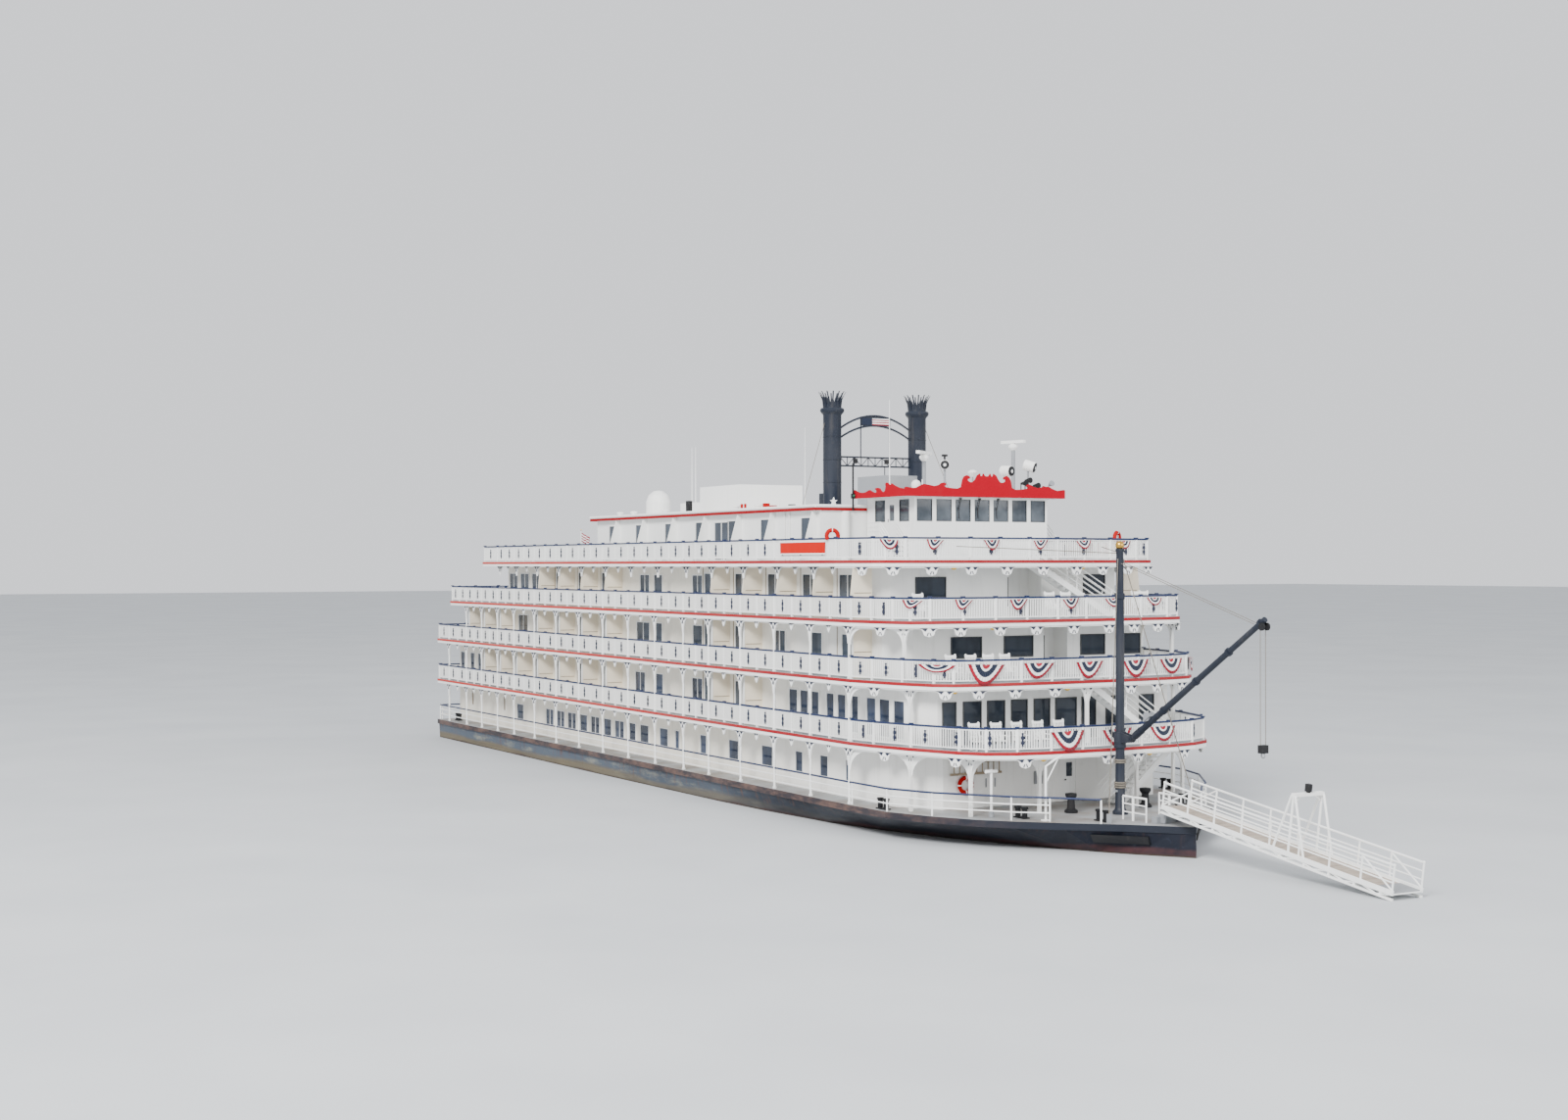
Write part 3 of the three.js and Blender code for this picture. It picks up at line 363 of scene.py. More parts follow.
FINISHES = {
    "trim": paint("trim_white", tone(246, 246, 243), 0.42, 0.08, 0.1, 0.06),
    # Walls and partitions are white paint. The cream tone of the walls aft, in the galleries, and
    # of the partitions is painted warm reflected light.
    "wall": along_boat("wall_white_painted_warm_light_aft", tone(244, 238, 224), PAINT_WHITE, 40, 56),
    "partition": paint("partition_white_painted_warm_light", tone(242, 230, 208), 0.55, 0.04, 0.06, 0.05),
    "seam": paint("seam_tan", tone(150, 134, 112), 0.6, 0.2, 0.2, 0.1),
    "navy": paint("rail_navy", tone(14, 34, 74), 0.45, 0.06, 0.08, 0.06),
    "dark": paint("ornament_navy", tone(24, 32, 56), 0.5, 0.06, 0.06, 0.06),
    "stripe": along_boat("edge_red", tone(190, 54, 44), tone(150, 0, 18), 14, 52, 0.6, 0.05, 0.08),
    "red": paint("crest_red", tone(166, 0, 30), 0.7, 0.02, 0.02, 0.0, **MATTE),
    "roof_stripe": paint("roof_edge_red", tone(150, 0, 16), 0.65, 0.03, 0.04, 0.02, **MATTE),
    "plate_red": paint("plate_red", tone(196, 18, 4), 0.65, 0.03, 0.04, 0.02, **MATTE),
    "wheel": worn_red("wheel_red", tone(168, 34, 36)),
    "charcoal": paint("stack_charcoal", tone(22, 30, 44), 0.5, 0.08, 0.12, 0.04),
    "steel": paint("gear_grey", tone(140, 143, 147), 0.5, 0.15, 0.18, 0.08),
    "frame": paint("window_frame_grey", tone(52, 55, 58), 0.5, 0.1, 0.1, 0.06),
    "black": paint("fitting_black", tone(18, 19, 23), 0.6, 0.05, 0.06, 0.02),
    "rope": grained("rope_grey", tone(122, 116, 106), (1, 1, 1)),
    "tan": grained("walkway_tan", tone(184, 170, 156), (1, 9, 1)),
    "glass": glass_finish("cabin_glass", tone(40, 48, 64)),
    "door_glass": glass_finish("sliding_door_glass", tone(50, 58, 68), 0.1, 1.8),
    "front_glass": glass_finish("front_glass", tone(42, 48, 56), 0.06, 1.5),
    "clear": clear_finish(),
    "hull": hull_finish(),
    "cloth_red": cloth_finish("bunting_red", tone(150, 0, 34)),
    "cloth_white": cloth_finish("bunting_white", tone(244, 244, 242)),
    "cloth_navy": cloth_finish("bunting_navy", tone(8, 24, 50)),
    "gold": metal_finish("ball_gold", tone(214, 168, 78), 0.3),
    "amber": paint("lamp_amber", tone(244, 196, 64), 0.35, 0.02, 0.0, 0.02),
    "green": paint("lamp_green", tone(24, 96, 70), 0.35, 0.02, 0.0, 0.05),
    "buoy": paint("buoy_orange", tone(168, 8, 8), 0.65, 0.03, 0.03, 0.02, **MATTE),
    "deck": deck_finish(),
}


# Shapes
class Work:
    """A piece in the making. Everything given to it is in full-size metres."""

    def __init__(self, seat=None):
        self.mesh = bmesh.new()
        self.finishes = []
        self.seat = seat

    def at(self, seat):
        """A view of the same piece, in which a frame places what is added."""
        view = copy(self)
        view.seat = seat
        return view

    def dress(self, verts, finish):
        if finish not in self.finishes:
            self.finishes.append(finish)
        for face in {face for vert in verts for face in vert.link_faces}:
            face.material_index = self.finishes.index(finish)
        if self.seat is not None:
            bmesh.ops.transform(self.mesh, matrix=self.seat, verts=verts)
        return verts

    def block(self, x, y, z, finish="trim"):
        middle = Matrix.Translation([(a + b) / 2 for a, b in (x, y, z)])
        size = Matrix.Diagonal([abs(b - a) for a, b in (x, y, z)] + [1])
        made = bmesh.ops.create_cube(self.mesh, size=1, matrix=middle @ size)
        return self.dress(made["verts"], finish)

    def plate(self, points, axis, span, finish="trim"):
        """An outline across x or y, as thick as its span along that axis."""
        def corner(a, b):
            return {"x": (span[0], a, b), "y": (a, span[0], b)}[axis]
        face = self.mesh.faces.new([self.mesh.verts.new(corner(a, b)) for a, b in points])
        made = bmesh.ops.extrude_face_region(self.mesh, geom=[face])
        raised = [item for item in made["geom"] if isinstance(item, bmesh.types.BMVert)]
        push = Vector([span[1] - span[0] if name == axis else 0 for name in "xyz"])
        bmesh.ops.translate(self.mesh, verts=raised, vec=push)
        return self.dress(raised + list(face.verts), finish)

    def rod(self, start, end, radius, finish="trim", sides=6, end_radius=None):
        start, end = Vector(start), Vector(end)
        along = end - start
        turn = along.to_track_quat("Z", "Y").to_matrix().to_4x4()
        made = bmesh.ops.create_cone(
            self.mesh, cap_ends=True, segments=sides, radius1=radius,
            radius2=radius if end_radius is None else end_radius, depth=along.length,
            matrix=Matrix.Translation((start + end) / 2) @ turn)
        return self.dress(made["verts"], finish)

    def post(self, x, y, low, high, radius, finish="trim", sides=6, end_radius=None):
        return self.rod((x, y, low), (x, y, high), radius, finish, sides, end_radius)

    def tube(self, path, radius, finish="trim", sides=6):
        """A round bar along a path, with mitred joints."""
        points = [Vector(point) for point in path]
        rings = []
        for i, point in enumerate(points):
            ahead = points[min(i + 1, len(points) - 1)] - points[max(i - 1, 0)]
            turn = ahead.to_track_quat("Z", "Y").to_matrix().to_4x4()
            ring = bmesh.ops.create_circle(
                self.mesh, cap_ends=False, segments=sides, radius=radius,
                matrix=Matrix.Translation(point) @ turn)
            rings.append(ring["verts"])
        edges = [list({edge for vert in ring for edge in vert.link_edges}) for ring in rings]
        for a, b in pairwise(edges):
            bmesh.ops.bridge_loops(self.mesh, edges=a + b)
        for ring in (rings[0], rings[-1]):
            self.mesh.faces.new(ring)
        return self.dress([vert for ring in rings for vert in ring], finish)

    def turned(self, profile, centre, finish="trim", steps=16):
        """A round form from radius and height, turned about an upright axis."""
        verts = [self.mesh.verts.new((radius, 0, z)) for radius, z in profile]
        edges = [self.mesh.edges.new(pair) for pair in pairwise(verts)]
        bmesh.ops.spin(
            self.mesh, geom=verts + edges, cent=(0, 0, 0), axis=(0, 0, 1), angle=2 * math.pi,
            steps=steps, use_merge=True)
        made = list(self.island(verts[1]))
        bmesh.ops.remove_doubles(self.mesh, verts=made, dist=1e-4)
        made = [vert for vert in made if vert.is_valid]
        bmesh.ops.translate(self.mesh, verts=made, vec=Vector(centre))
        return self.dress(made, finish)

    @staticmethod
    def island(vert):
        found, todo = {vert}, [vert]
        while todo:
            for edge in todo.pop().link_edges:
                for other in edge.verts:
                    if other not in found:
                        found.add(other)
                        todo.append(other)
        return found

    def ball(self, centre, radius, finish="trim", u=12, v=8, squash=1.0):
        matrix = Matrix.Translation(centre) @ Matrix.Diagonal((1, 1, squash, 1))
        made = bmesh.ops.create_uvsphere(
            self.mesh, u_segments=u, v_segments=v, radius=radius, matrix=matrix)
        return self.dress(made["verts"], finish)

    def ring(self, centre, radius, thick, finish, axis="z", steps=16, sides=6):
        """A closed round ring about one axis."""
        turn = {
            "z": Matrix(), "x": Matrix.Rotation(math.pi / 2, 4, "Y"),
            "y": Matrix.Rotation(math.pi / 2, 4, "X"),
        }[axis]
        made = bmesh.ops.create_circle(
            self.mesh, cap_ends=False, segments=sides, radius=thick,
            matrix=Matrix.Translation((radius, 0, 0)) @ Matrix.Rotation(math.pi / 2, 4, "X"))
        edges = list({edge for vert in made["verts"] for edge in vert.link_edges})
        bmesh.ops.spin(
            self.mesh, geom=made["verts"] + edges, cent=(0, 0, 0), axis=(0, 0, 1),
            angle=2 * math.pi, steps=steps, use_merge=True)
        verts = list(self.island(made["verts"][0]))
        bmesh.ops.transform(self.mesh, matrix=Matrix.Translation(centre) @ turn, verts=verts)
        return self.dress(verts, finish)

    def finish(self, name, body="boat", replaces=(), slot="white_paint", thick=0.0):
        bmesh.ops.recalc_face_normals(self.mesh, faces=self.mesh.faces)
        bmesh.ops.transform(self.mesh, matrix=MODEL, verts=self.mesh.verts)
        mesh = bpy.data.meshes.new(name)
        self.mesh.to_mesh(mesh)
        self.mesh.free()
        for finish in self.finishes:
            mesh.materials.append(FINISHES[finish].material)
        mesh.shade_smooth()
        mesh.set_sharp_from_angle(angle=0.6)
        made = bpy.data.objects.new(name, mesh)
        bpy.context.collection.objects.link(made)
        if thick:
            solid = made.modifiers.new("thickness", "SOLIDIFY")
            solid.thickness, solid.offset = thick * SCALE, 0
        if body:
            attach(made, body)
        if replaces:
            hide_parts(*replaces)
        return made


def seat_on(start, end):
    """A frame at start with its x axis towards end and its z axis up."""
    start, end = Vector(start), Vector(end)
    along = (end - start).normalized()
    across = Vector((0, 0, 1)).cross(along).normalized()
    up = along.cross(across)
    return Matrix.Translation(start) @ Matrix((along, across, up)).transposed().to_4x4()


def ordered(a, b):
    return (min(a, b), max(a, b))


def about(middle, half):
    return (middle - half, middle + half)


def both_ways(right, x, top, drop=1.0):
    """A whole outline about x from its right half, hung below top."""
    left = [(x - a, top + b * drop) for a, b in reversed(right) if a > 0]
    return [(x + a, top + b * drop) for a, b in right] + left


def node_name(deck):
    return "main_deck" if deck == 1 else f"deck{deck}"


# Railings
PICKET = {"pitch": 0.13, "wide": 0.046, "low": 0.14, "high": 0.93}
SPINDLE = [
    (0.05, 0.29), (0.05, 0.24), (0.02, 0.2), (0.08, 0.12), (0.08, 0.04), (0.03, -0.03),
    (0.08, -0.1), (0.08, -0.19), (0.03, -0.23), (0.05, -0.29),
]
HALF_BAY = 1.8
STANCHION = 0.045


def spindle(work, x):
    half = PICKET["wide"] / 2
    for span in ((half, half + 0.03), (-half - 0.03, -half)):
        work.plate(both_ways(SPINDLE, x, 0.53), "y", span, "dark")


def railing(work, start, end, floor, gap=0.0, ends=(False, False), spindles=True):
    """Pickets, spindles and stanchions under a navy top rail between two plan points."""
    work = work.at(seat_on((*start, floor), (*end, floor)))
    length = (Vector(end) - Vector(start)).length
    work.block((gap, length - gap), (-0.05, 0.05), (0.975, 1.055), "navy")
    for low, high in ((0.92, 0.965), (0.1, 0.15)):
        work.block((gap, length - gap), (-0.028, 0.028), (low, high))
    count = max(1, round((length - 2 * gap) / PICKET["pitch"]))
    pitch = (length - 2 * gap) / count
    half = PICKET["wide"] / 2
    for i in range(count):
        middle = gap + (i + 0.5) * pitch
        work.block(about(middle, half), (-half, half), (PICKET["low"], PICKET["high"]))
    halves = max(1, round(length / HALF_BAY))
    for i in range(halves if spindles else 0):
        spindle(work, (i + 0.5) * length / halves)
    for i in range(halves + 1):
        if 0 < i < halves or ends[0 if i == 0 else 1]:
            spot = i * length / halves
            work.block(about(spot, STANCHION), (-0.05, 0.05), (0.0, 0.98))
            work.block(about(spot, 0.1), (-0.06, 0.06), (1.05, 1.1), "navy")


def open_railing(work, start, end, floor, bars=(0.36, 0.7), posts=2, top="navy"):
    work = work.at(seat_on((*start, floor), (*end, floor)))
    length = (Vector(end) - Vector(start)).length
    work.rod((0, 0, 1.02), (length, 0, 1.02), 0.045, top, 8)
    for z in bars:
        work.rod((0, 0, z), (length, 0, z), 0.03)
    for i in range(posts):
        x = i * length / max(posts - 1, 1)
        work.post(x, 0, 0.0, 1.0, 0.04)


# Brackets and pendants under each deck's edge
FAN = {"half": 0.56, "drop": 0.8, "stem": 0.07}
FAN_WING = [(0.06, -0.03), (0.42, -0.03), (0.3, -0.07), (0.17, -0.17)]
FAN_LEG = [(0.0, -0.1), (0.1, -0.34), (0.055, -0.34), (0.0, -0.2)]
PENDANT_HALF = [(0.34, 0), (0.2, -0.05), (0.15, -0.13), (0.12, -0.22), (0, -0.36)]
PENDANT_WING = [(0.03, -0.03), (0.17, -0.03), (0.07, -0.13)]
FRONT_HALF = [(0.52, 0), (0.4, -0.05), (0.29, -0.14), (0.25, -0.28), (0.2, -0.36), (0, -0.42)]


def fan(work, x, top, span, drop=1.0):
    """A bracket that spreads from a post to the board above, with its navy pieces."""
    half, deep, stem = FAN["half"], FAN["drop"], FAN["stem"]
    curve = []
    for i in range(7):
        angle = math.pi / 2 * (1 - i / 6)
        reach = half - (half - stem) * math.cos(angle)
        curve.append((reach, -deep + (deep - 0.04) * math.sin(angle)))
    work.plate(both_ways([(half, 0), *curve], x, top, drop), "y", span)
    proud = (span[0] - 0.02, span[1] + 0.02)
    for sign in (-1, 1):
        for outline in (FAN_WING, FAN_LEG):
            work.plate([(x + sign * a, top + b) for a, b in outline], "y", proud, "dark")


def pendant(work, x, top, span, front=False):
    half, wing = (FRONT_HALF, FAN_WING) if front else (PENDANT_HALF, PENDANT_WING)
    work.plate(both_ways(half, x, top), "y", span)
    proud = (span[0] - 0.02, span[1] + 0.02)
    for sign in (-1, 1):
        work.plate([(x + sign * a, top + b) for a, b in wing], "y", proud, "dark")
        if front:
            leg = [(0.02, -0.22), (0.07, -0.36), (0.11, -0.36), (0.05, -0.22)]
            work.plate([(x + sign * a, top + b) for a, b in leg], "y", proud, "dark")


def arch_board(work, start, end, top, reach=0.95, drop=1.0):
    """A board between two posts, its lower edge curving down to each of them."""
    work = work.at(seat_on((*start, top), (*end, top)))
    length = (Vector(end) - Vector(start)).length
    reach = min(reach, length / 2 - 0.1)
    points = [(0.05, 0), (0.05, -drop)]
    for i in range(7):
        angle = math.pi / 2 * i / 6
        rise = (drop - 0.13) * math.sin(angle)
        points.append((0.1 + reach * (1 - math.cos(angle)), rise - drop))
    mirrored = [(length - a, b) for a, b in reversed(points)]
    work.plate(points + mirrored, "y", (-0.03, 0.03))


def gallery(deck, side, sign):
    """One side frame with its posts, brackets, pendants and rail."""
    work = Work()
    floor, top = HEIGHT[deck] + 0.003, HEIGHT[deck + 1] - SLAB
    aft = 0.26 if deck == 1 else DECKS[deck][1] + 0.06
    upper_aft = DECKS[deck + 1][1] + 0.06
    outer = ordered(sign * (FRAME_OUT - 0.06), sign * FRAME_OUT)
    full = (sign * (FRAME_OUT - 0.12), sign * FRAME_OUT)
    covered = [x for x in POSTS if x > upper_aft + 0.14]
    for x in POSTS:
        high = top - 0.03 if x in covered else floor + 1.0
        work.post(x, sum(full) / 2, floor, high, 0.062, "trim", 10)
        work.block(about(x, 0.08), full, (floor, floor + 0.1))
    for x in covered:
        fan(work, x, top - 0.003, outer)
    for a, b in pairwise(covered):
        pendant(work, (a + b) / 2, top - 0.003, outer)
    work.block((covered[0] - 0.07, covered[-1] + 0.07), outer, (top - 0.05, top - 0.003))
    fore = 57.8
    stations = [aft, *POSTS, fore] if POSTS[0] - aft > 0.4 else [*POSTS, fore]
    for a, b in pairwise(stations):
        start, end = (a, sign * RAIL_Y), (b, sign * RAIL_Y)
        if deck == 1:
            open_railing(work, start, end, floor, posts=1 if a in POSTS else 2)
        elif b - a > 0.3:
            railing(work, start, end, floor, 0.06, (a == aft, False))
    node = node_name(deck)
    work.finish(f"{node}_gallery_{side}", replaces=(f"{node}_side_frame_{side}",))


# y of the spindles along each deck's front rail
FRONT_SPINDLES = {
    2: [
        -8.45, -8, -7.47, -6.89, -5.98, -4.66, -2.62, 0.04, 2.8, 5.02, 6.2, 7.1, 7.5, 8, 8.45],
    3: [-8.45, -8.1, -7.6, -6.9, -5.28, -2.34, 0.47, 3.14, 5.5, 7.2, 7.65, 8.1, 8.45],
    4: [-8.46, -8.12, -7.44, -5.04, -2.06, 0.76, 3.51, 5.9, 7.6, 8.12, 8.46],
    5: [-8.2, -7.1, -5.17, -2.17, 0.63, 3.25, 6, 7.3, 8.2],
}


def edge_path(deck, inset):
    """The plan line of a deck's front rail, from starboard to port."""
    front = [(x - inset * 0.8, max(y - inset, 0)) for x, y in DECKS[deck][2]]
    starboard = [(x, -y) for x, y in front]
    return [*starboard, *[(x, y) for x, y in reversed(front) if y > 0]]


def front_spindles(work, deck, floor):
    for y in FRONT_SPINDLES[deck]:
        spindle(work.at(front_seat(deck, y, floor, 0.1)), 0)


def front_rails():
    for deck in (2, 3):
        work = Work()
        floor = HEIGHT[deck] + 0.003
        path = edge_path(deck, 0.1)
        path[0], path[-1] = (57.83, path[0][1]), (57.83, path[-1][1])
        for i, (a, b) in enumerate(pairwise(path)):
            railing(work, a, b, floor, 0.0, (i == 0, True), False)
        front_spindles(work, deck, floor)
        work.finish(f"deck{deck}_bow_railing", replaces=(f"deck{deck}_front_rail",))
        work = Work()
        half, x = FRAME_OUT - 0.14, DECKS[deck][1] + 0.12
        railing(work, (x, -half), (x, half), floor, 0.03, (True, True))
        work.finish(f"deck{deck}_stern_railing", replaces=(f"deck{deck}_stern_rail",))
    for deck in (4, 5):
        work = Work()
        floor, stern = HEIGHT[deck] + 0.003, DECKS[deck][1] + 0.1
        path = edge_path(deck, 0.1)
        side = [x for x in POSTS if stern + 0.3 < x < path[0][0] - 0.3]
        starboard = [(x, -RAIL_Y) for x in [stern, *side]]
        port = [(x, RAIL_Y) for x in reversed([stern, *side])]
        line = [*starboard, *path, *port]
        for a, b in pairwise(line):
            railing(work, a, b, floor, 0.0, (False, True), abs(a[1] + b[1]) > 2 * RAIL_Y - 0.01)
        front_spindles(work, deck, floor)
        railing(work, line[-1], line[0], floor, 0.04, (True, True))
        work.finish(f"deck{deck}_railing", replaces=(f"deck{deck}_rail",))


# Along the front edge of each deck: y of the hanging pendants and of the lamps, the posts
# in plan, and which of the posts have a fan
FRONT_HANGINGS = {
    2: [-8.2, -6.95, -4.55, -0.3, 1.4, 4.3, 6.95, 8.2],
    3: [-8.3, -6.9, -5.5, -3.64, -1.5, 2.85, 4.5, 6.2, 7.7],
    4: [-8.2, -6.87, -5.26, -3.19, -1.21, 0.91, 3.05, 4.62, 6.16, 7.7],
    5: [-8.2, -7.3, -5.36, -3.28, -1.3, 0.78, 2.8, 4.47, 6.12, 7.6],
}
FRONT_LAMPS = {2: [-3.6, 2.2], 3: [-6.5, -0.74, 3.2], 4: [-3.48, 3.43], 5: [-4.12, 3.25]}
FRONT_POSTS = {
    2: [
        (57.65, -8.58), (61.28, -7.54), (64.19, -6.3), (64.4, -2.75), (64.4, 2.75), (64.19, 5.64),
        (61.28, 7.54), (57.65, 8.58)],
    3: [(57.65, -8.58), (61.28, -7.54), (61.28, 7.54), (57.65, 8.58)],
    4: [(57.65, -8.58), (61, -7.7), (61, 7.7), (57.65, 8.58)],
}
FANNED_POSTS = {2: (1, 2, -2), 3: (1, -2), 4: (1, -2)}


def front_seat(deck, y, top, inset=0.06):
    """A frame on a deck's front edge at y, its x axis along the edge."""
    path = edge_path(deck, inset)
    for a, b in pairwise(path):
        if a[1] <= y <= b[1] and b[1] > a[1]:
            part = (y - a[1]) / (b[1] - a[1])
            spot = Vector(a).lerp(Vector(b), part)
            ahead = spot + (Vector(b) - Vector(a)).normalized()
            return seat_on((*spot, top), (*ahead, top))
    raise ValueError(f"deck {deck} has no front edge at {y}")


def front_edges():
    """Pendants, arches and lamps under the front of each deck."""
    for deck, spots in FRONT_HANGINGS.items():
        work = Work()
        top = HEIGHT[deck] - SLAB - 0.002
        path = edge_path(deck, 0.06)
        for a, b in pairwise(path):
            edge = work.at(seat_on((*a, top), (*b, top)))
            edge.block((0, (Vector(b) - Vector(a)).length), (-0.03, 0.03), (-0.06, 0))
        for y in spots:
            pendant(work.at(front_seat(deck, y, top)), 0, 0, (-0.035, 0.035), True)
        for y in FRONT_LAMPS[deck]:
            lamp = work.at(front_seat(deck, y, top, 0.2))
            lamp.ball((0, 0, -0.05), 0.14, "amber", squash=0.8)
        posts = FRONT_POSTS.get(deck, [])
        if deck == 2:
            for a, b in pairwise(posts):
                arch_board(work, a, b, top)
        else:
            for a, b in (posts[:2], posts[-2:]) if posts else ():
                arch_board(work, a, b, top, 0.7, 0.85)
        for i in FANNED_POSTS.get(deck, ()):
            a, b = (posts[i - 1], posts[i]) if i > 0 else (posts[i], posts[i + 1])
            spot, along = Vector(posts[i]), (Vector(b) - Vector(a)).normalized()
            post = work.at(seat_on((*spot, top), (*(spot + along), top)))
            fan(post, 0, 0, (-0.045, 0.045))
        if deck == 3:
            across = Matrix.Translation((63.7, 0.45, top)) @ Matrix.Rotation(math.pi / 2, 4, "Z")
            fan(work.at(across), 0, 0, (-0.04, 0.04), 1.3)
        work.finish(f"deck{deck}_front_edge_trim")


def upper_brackets():
    """Brackets and pendants that hang under the sun deck, without posts."""
    work = Work()
    top = HEIGHT[5] - SLAB - 0.003
    stations = [x for x in POSTS if x > DECKS[5][1]]
    for sign in (-1, 1):
        span = ordered(sign * 8.36, sign * 8.42)
        for x in stations:
            if x < 56:
                fan(work, x, top, span, 0.75)
        for a, b in pairwise(stations):
            pendant(work, (a + b) / 2, top, span)
        work.block((stations[0] - 0.5, 56.4), span, (top - 0.05, top))
    work.finish("deck5_edge_brackets")


def edge_mouldings():
    """Each deck's edge: a proud red strip above a white board, all round."""
    for deck, (height, stern, front) in DECKS.items():
        work = Work()
        half = [(stern, EDGE), *front]
        outline = [(x, -y) for x, y in half] + [(x, y) for x, y in reversed(half) if y > 0]
        path = outline + outline[:1]
        strips = (
            (height - 0.14, height - CLEAR, 0.035, "stripe"),
            (height - SLAB + CLEAR, height - 0.15, 0.02, "trim"),
        )
        for low, high, proud, finish in strips:
            for a, b in pairwise(path):
                length = (Vector(b) - Vector(a)).length
                edge = work.at(seat_on((*a, 0), (*b, 0)))
                edge.block((-0.008, length + 0.008), (-proud, 0.01), (low, high), finish)
        work.finish(f"deck{deck}_edge_moulding")


# Windows, doors and partitions. A wall is its axis, its place on it, and the way it faces.
def window(work, wall, along, up, finish="glass", leaves=1, trim="trim", wide=0.06):
    axis, place, sign = wall

    def panel(out, a, z, colour):
        across = (place + sign * out[0], place + sign * out[1])
        if axis == "x":
            work.block(across, a, z, colour)
        else:
            work.block(a, across, z, colour)
    panel((0, 0.012), along, up, finish)
    for a in ((along[0] - wide, along[0]), (along[1], along[1] + wide)):
        panel((0, 0.05), a, (up[0] - wide, up[1] + wide), trim)
    for z in ((up[0] - wide, up[0]), (up[1], up[1] + wide)):
        panel((0, 0.05), along, z, trim)
    for i in range(1, leaves):
        middle = along[0] + (along[1] - along[0]) * i / leaves
        panel((0, 0.035), about(middle, 0.03), up, trim)


MAIN_WINDOWS = [
    (12.31, 13.44), (17.45, 18.69), (19.29, 20.5), (21.11, 22.37), (23.06, 24.14), (24.77, 26.01),
    (26.74, 27.78), (28.38, 29.63), (30.44, 31.29), (31.97, 33.08), (34.61, 35.64), (36.63, 37.11),
    (39.77, 40.48), (43.17, 44.23), (46.85, 47.98), (50.4, 51.09), (52.86, 53.57), (55.3, 55.63),
]
SIDE_WINDOWS = {
    2: [
        (1.25, 2.0), (3.25, 4.0), (4.8, 5.45), (31.3, 32.6), (33.9, 35.0),
        (38.8, 40.0), (49.77, 50.56), (50.89, 51.63), (51.98, 52.7), (53.49, 54.16),
        (54.54, 55.26), (55.83, 56.42), (57.22, 57.98), (58.34, 59.19), (59.58, 60.44)],
    3: [
        (12.6, 14.25), (31.5, 33.2), (33.9, 34.9), (38.89, 39.99), (48.13, 49.33),
        (51.87, 53.0), (54.95, 56.15)],
    4: [
        (11.0, 12.4), (13.0, 14.45), (15.05, 16.5), (31.97, 33.19), (33.89, 34.93),
        (38.83, 39.99)],
}
# Stations of the full-height partitions behind the posts of each deck
PARTITIONS = {
    2: [8.85, 11.88, 14.91, 18.52, 22.13, 25.74, 29.35, 43.21, 46.82],
    3: [5.82, 8.85, 11.88, 18.52, 22.13, 25.74, 29.35, 43.21, 46.82, 57.6],
    4: [18.9, 22.13, 25.74, 29.35, 43.21, 46.82, 50.43, 54.04, 57.6],
}
# Narrow louvres low on the main deck's side
LOUVRES = [(3.5, 3.9), (9.75, 10.1)]
# x of the wall that faces aft on each deck
STERN_WALLS = {1: 0.9, 2: 0.9, 3: 2.86, 4: 10.6, 5: 24}
SUN_WALL, SUN_TOP = 6.6, 13.74
SUN_FINS = [27.4, 31.26, 35.3, 39.24, 43.21, 46.9, 51.2]


def wall_openings():
    for side, sign in SIDES.items():
        wall = ("y", sign * WALL, sign)
        for deck, rows in {1: MAIN_WINDOWS, **SIDE_WINDOWS}.items():
            work = Work()
            floor = HEIGHT[deck]
            for a, b in rows:
                if deck == 1:
                    up = (0.82, 1.79)
                elif deck == 2 and (b < 6 or a > 49):
                    up = (floor + 0.25, floor + 1.95)
                else:
                    up = (floor + 0.06, floor + 1.95)
                glass = "glass" if deck < 3 else "door_glass"
                window(work, wall, (a, b), up, glass, 2 if b - a > 1.15 else 1)
            for x in PARTITIONS.get(deck, ()):
                if not any(a < x - 1.3 and b > x - 3 for a, b in rows):
                    up = (floor + 0.06, floor + 2.05)
                    window(work, wall, (x - 2.9, x - 1.4), up, "door_glass", 2)
                for seam in (x - 3.15, x - 0.9):
                    if seam < STERN_WALLS[deck]:
                        continue
                    work.block(
                        about(seam, 0.015), (wall[1], wall[1] + sign * 0.03),
                        (floor + 0.02, HEIGHT[deck + 1] - SLAB - 0.02), "seam")
            for along in LOUVRES if deck == 1 else ():
                window(work, wall, along, (1.2, 2.15), "seam", wide=0.03)
            work.finish(f"{node_name(deck)}_windows_{side}")
        work = Work()
        wall = ("y", sign * SUN_WALL, sign)
        for x in SUN_FINS:
            window(work, wall, (x - 1.5, x - 0.4), (11.4, 13.4), "door_glass")
            points = [
                (sign * SUN_WALL, 11.28), (sign * SUN_WALL, SUN_TOP), (sign * 6.86, SUN_TOP),
                (sign * 7.55, 11.28)]
            work.plate(points, "x", about(x, 0.03))
        window(work, wall, (40.09, 41.66), (11.33, 13.35), "door_glass", 2)
        for x in (48.0, 48.5):
            work.post(x, sign * 6.66, 11.3, SUN_TOP, 0.04, "trim", 8)
        work.finish(f"sun_deck_doors_and_fins_{side}")


def stern_openings():
    """A pair of doors between windows on each wall that faces aft."""
    for deck, x in STERN_WALLS.items():
        work = Work()
        wall, floor = ("x", x, -1), HEIGHT[deck]
        window(work, wall, (-0.95, 0.95), (floor + 0.06, floor + 2.05), "door_glass", 2)
        for near in (2, 3.6, 5.2):
            for along in ((near, near + 1), (-near - 1, -near)):
                window(work, wall, along, (floor + 0.85, floor + 1.85))
        work.finish(f"{node_name(deck)}_stern_windows")


